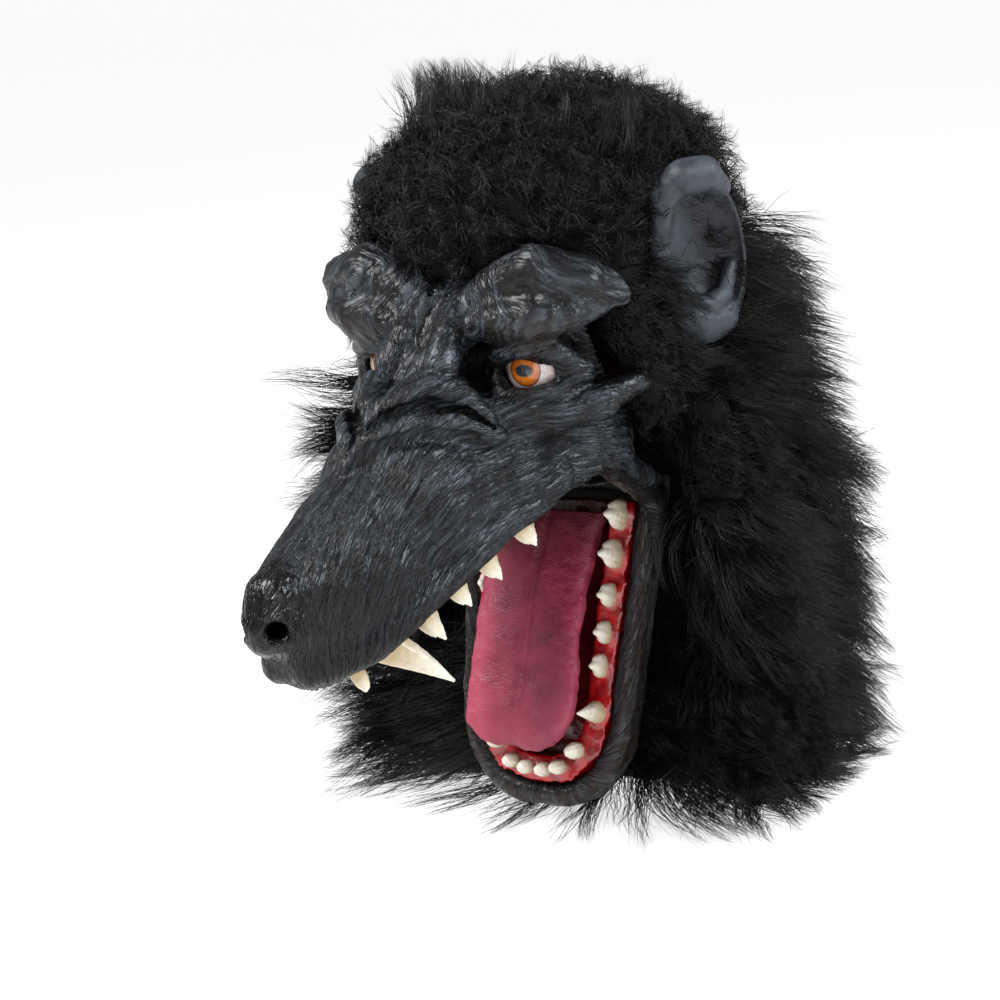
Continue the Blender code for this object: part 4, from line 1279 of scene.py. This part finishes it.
def paths(start, normals, leave, finish, length, phase, curl):
    """Centre lines that leave one way, end another and wind as they go."""
    t = np.linspace(0, 1, HAIR_SEGMENTS + 1)
    mix = (t**0.8)[None, :, None]
    way = unit(leave[:, None] * (1 - mix) + finish[:, None] * mix)
    side = unit(np.cross(way[:, 0], normals + 0.01))
    other = np.cross(way[:, 0], side)
    steps = (way[:, 1:] + way[:, :-1]) / 2 * (length / HAIR_SEGMENTS)[:, None, None]
    line = np.concatenate([np.zeros((len(start), 1, 3)), np.cumsum(steps, 1)], 1)
    angle = phase[:, None] + 7.0 * t[None]
    bend = np.cos(angle)[..., None] * side[:, None] + np.sin(angle)[..., None] * other[:, None]
    bend = bend * curl[:, None, None]
    bend = (bend - bend[:, :1]) * np.minimum(1, 2 * t)[None, :, None]
    return start[:, None] + line + bend


def strands(rng, roots, normals, leave, finish, length, curl, each, spread, width):
    """Centre lines and radii of hairs: each lock's come together towards its tip, but for a few."""
    count = len(roots)
    phase = rng.uniform(0, 2 * math.pi, count)
    guide = paths(roots, normals, leave, finish, length, phase, curl)
    which = np.repeat(np.arange(count), each)
    total = len(which)
    sideways = rng.normal(size=(total, 3)) * spread
    sideways -= (sideways * normals[which]).sum(1, keepdims=True) * normals[which]
    wild = rng.random(total) < 0.12
    stray = np.where(wild, 0.5, 0.16)[:, None]
    own = paths(
        roots[which] + sideways,
        normals[which],
        unit(leave[which] + stray * rng.normal(size=(total, 3))),
        unit(finish[which] + 1.6 * stray * rng.normal(size=(total, 3))),
        length[which] * rng.uniform(0.68, 1.12, total),
        phase[which] + rng.normal(size=total) * 0.5,
        curl[which] * rng.uniform(0.6, 1.5, total),
    )
    pull = np.where(wild, 0.15, rng.uniform(0.7, 0.97, total))[:, None] * np.linspace(0, 1, HAIR_SEGMENTS + 1)
    pull = pull[..., None]
    return own * (1 - pull) + guide[which] * pull, width * rng.uniform(0.7, 1.25, total)


def kept_inside(line):
    """Lays the hairs on the floor, and shortens each that would leave the object's box."""
    low, high = (np.array(corner) / MM - (0, -PEAK_FORWARD, PEAK_HEIGHT) for corner in CAD_BOX)
    room = 0.03 * (high - low) + 8.0
    low, high = low - room, high + room
    low[2] = -PEAK_HEIGHT - 60  # the floor limits them instead
    floor = -PEAK_HEIGHT + 1.0 + 3.0 * (line[..., 0] * 0.1 % 1.0)
    line = line.copy()
    line[..., 2] = np.maximum(line[..., 2], floor)
    step = line - line[:, :1]
    limit = np.where(step > 0, high - line[:, :1], low - line[:, :1])
    with np.errstate(divide="ignore", invalid="ignore"):
        share = np.where(np.abs(step) > TINY, limit / step, 1e3).min((1, 2))
    ragged = 0.74 + 0.26 * (line[:, 0].sum(-1) * 7.3 % 1.0)
    return line[:, :1] + step * np.where(share < 1, np.clip(share, 0, 1) * ragged, 1)[:, None, None]


def hair_mesh(line, thick):
    """Points and faces of the hairs, rings that close in a tip, and how many faces each has."""
    total, stops = line.shape[:2]
    way = unit(np.diff(line, axis=1, append=2 * line[:, -1:] - line[:, -2:-1]))
    side = unit(np.cross(way, (0.31, 0.52, 0.79)))
    other = np.cross(way, side)
    t = np.linspace(0, 1, stops)[:-1]
    taper = (thick[:, None] * (1 - t**1.6 * 0.9)[None])[..., None]
    rings = []
    for k in range(HAIR_SIDES):
        turn = 2 * math.pi * k / HAIR_SIDES
        rings.append(line[:, :-1] + taper * (math.cos(turn) * side[:, :-1] + math.sin(turn) * other[:, :-1]))
    points = np.concatenate([np.stack(rings, 2).reshape(total, -1, 3), line[:, -1:]], 1)
    each = points.shape[1]
    faces = []
    for stop in range(stops - 2):
        for k in range(HAIR_SIDES):
            a, b = stop * HAIR_SIDES + k, stop * HAIR_SIDES + (k + 1) % HAIR_SIDES
            faces += [(a, b, b + HAIR_SIDES), (a, b + HAIR_SIDES, a + HAIR_SIDES)]
    last = (stops - 2) * HAIR_SIDES
    faces += [(last + k, last + (k + 1) % HAIR_SIDES, each - 1) for k in range(HAIR_SIDES)]
    faces.append((2, 1, 0))
    all_faces = (np.arange(total)[:, None, None] * each + np.array(faces)[None]).reshape(-1, 3)
    return points.reshape(-1, 3), all_faces, len(faces)


def rooted_on(rng, points, quads, spacing):
    """Places scattered over the quads that lie on the fur's skin, and the outward directions there."""
    corners = points[quads]
    area = np.linalg.norm(np.cross(corners[:, 2] - corners[:, 0], corners[:, 3] - corners[:, 1]), axis=1) / 2
    area = area * (fur_root(corners.mean(1)) > -1.0)
    count = int(area.sum() / spacing**2)
    chosen = rng.choice(len(quads), count, p=area / area.sum())
    u, v = np.moveaxis(rng.random((count, 2, 1)), 1, 0)
    a, b, c, d = (corners[chosen, i] for i in range(4))
    return (a * (1 - u) + b * u) * (1 - v) + (d * (1 - u) + c * u) * v, unit(np.cross(c - a, d - b))


def add_fur(cloth, hairs):
    rng = np.random.default_rng(7)
    for panel, node, low, high in PANELS:
        crown = panel == "crown"
        field = functools.partial(backing, panel=panel)
        points, quads = mesh_of(field, low, high, 3.0)
        points, _ = settled(points, field, 1)
        add_piece(f"{panel}_backing", points, quads, "head", (node,), (cloth,))
        roots, normals = rooted_on(rng, points, quads, CROWN_LOCK_SPACING if crown else LOCK_SPACING)
        locks = grow(rng, roots, normals, panel)
        each, spread = (8, 2.6) if crown else (15, 3.0)
        width = CROWN_HAIR_RADIUS if crown else HAIR_RADIUS
        made = [strands(rng, roots, normals, *locks, each, spread, width), *(tufts(rng) if crown else ())]
        lines, thick = (np.concatenate(values) for values in zip(*made))
        lines = kept_inside(lines)
        probe = lines[:, [2, 4, 6]]
        clear = np.minimum(face_form(probe), jaw_room(probe)).min(1) > -0.5
        lines, thick = lines[clear], thick[clear]
        parts = np.array_split(rng.permutation(len(lines)), math.ceil(len(lines) / STRANDS_IN_PIECE))
        for number, part in enumerate(parts, 1):
            at, faces, per = hair_mesh(lines[part], thick[part])
            kind = np.repeat(rng.choice(len(hairs), len(part), p=(0.5, 0.3, 0.2)), per)
            add_piece(f"{panel}_fur_{number}", at, faces, "head", (), hairs, surface_at=kind)


def jaw_room(p):
    """Distance outside the jaw and the space over it."""
    x, s, n = jaw_axes(p)
    return within(jaw_form(x, s, np.minimum(n, 0)), n - 40, JAW_START - s)


def tufts(rng):
    """The tall straight tufts on the crown and the fly-away hair beside the muzzle."""
    for centre, reach, way, count, low, high in TUFTS:
        box = (reach, reach, 3) if centre[2] > 0 else (3, 6, reach)
        roots = np.asarray(centre, float) + rng.normal(size=(count, 3)) * box
        normals = np.broadcast_to(unit(np.asarray(way, float)), (count, 3)).copy()
        leave = unit(normals + 0.16 * rng.normal(size=(count, 3)))
        finish = unit(normals + 0.32 * rng.normal(size=(count, 3)))
        length, curl = rng.uniform(low, high, count), rng.uniform(0.5, 1.5, count)
        yield strands(rng, roots, normals, leave, finish, length, curl, 16, 2.4, 0.2)


# ---- stage --------------------------------------------------------------------------------------

AZIMUTH, ELEVATION, ROLL, DISTANCE = math.radians(35), math.radians(15), math.radians(6), 1.1
SENSOR_MM, LENS_MM = 36.0, 79.2
PEAK_LEFT, PEAK_ABOVE = 0.0225, 0.105  # where the widow's peak lies from the picture's centre
LIGHTS_AIM = (0, 0, 0.2)
FLOOR_REACH = 40.0


def add_camera():
    right = np.array((math.cos(AZIMUTH), math.sin(AZIMUTH), 0))
    lean = math.sin(ELEVATION)
    up = np.array((-lean * math.sin(AZIMUTH), lean * math.cos(AZIMUTH), math.cos(ELEVATION)))
    back = np.cross(right, up)
    cos, sin = math.cos(ROLL), math.sin(ROLL)
    right, up = cos * right - sin * up, sin * right + cos * up
    at = place((0, 0, 0)) + back * DISTANCE + right * PEAK_LEFT - up * PEAK_ABOVE
    data = bpy.data.cameras.new("Camera")
    data.sensor_width, data.lens = SENSOR_MM, LENS_MM
    camera = bpy.data.objects.new("Camera", data)
    camera.matrix_world = Matrix([[right[i], up[i], back[i], at[i]] for i in range(3)] + [[0, 0, 0, 1]])
    bpy.context.scene.collection.objects.link(camera)
    bpy.context.scene.camera = camera


def add_light(name, at, size, power, colour=(1, 1, 1)):
    data = bpy.data.lights.new(name, "AREA")
    data.size, data.energy, data.color = size, power, colour
    light = bpy.data.objects.new(name, data)
    light.location = at
    light.rotation_euler = (Vector(LIGHTS_AIM) - Vector(at)).to_track_quat("-Z", "Y").to_euler()
    bpy.context.scene.collection.objects.link(light)


def add_stage():
    scene = bpy.context.scene
    scene.view_settings.view_transform = "Standard"
    world = bpy.data.worlds.new("Studio")
    world.use_nodes = True
    world.node_tree.nodes["Background"].inputs["Color"].default_value = (1, 1, 1, 1)
    world.node_tree.nodes["Background"].inputs["Strength"].default_value = 0.3
    scene.world = world
    floor_look = Look("Pale floor", base_color=(0.36, 0.36, 0.36), roughness=0.9, specular_ior_level=0.1,
                      emission_color=(1, 1, 1), emission_strength=0.84)  # fmt: skip
    mesh = bpy.data.meshes.new("Floor")
    corners = [(x * FLOOR_REACH, y * FLOOR_REACH, 0) for x, y in ((-1, -1), (1, -1), (1, 1), (-1, 1))]
    mesh.from_pydata(corners, [], [(0, 1, 2, 3)])
    mesh.materials.append(floor_look.material)
    floor = bpy.data.objects.new("Floor", mesh)
    scene.collection.objects.link(floor)
    add_light("Key", (-0.7, -0.9, 1.6), 0.9, 46)
    add_light("Rim", (1.5, 0.5, 1.2), 0.8, 30, (0.88, 0.94, 1.0))
    add_light("Fill", (1.2, -1.4, 0.5), 1.0, 7)


def main():
    latex = black_latex()
    add_face(latex)
    add_jaw(latex)
    add_corners(latex)
    add_gums(red_gum())
    add_tongue(tongue_latex())
    add_teeth(tooth_ivory())
    add_eyes(painted_eye())
    add_ears(ear_latex())
    # Each strand gets one of these at random; the shining one's lighter, bluer colour is partly its own tone and
    # partly painted sheen.
    looks = (
        ("Black fur", (0.004, 0.004, 0.0045), 0.34),
        ("Soft black fur", (0.0065, 0.0065, 0.008), 0.45),
        ("Shining black fur", (0.008, 0.009, 0.012), 0.2),
    )
    hairs = tuple(fur_hair(*look) for look in looks)
    add_fur(backing_cloth(), hairs)
    add_stage()
    add_camera()


main()
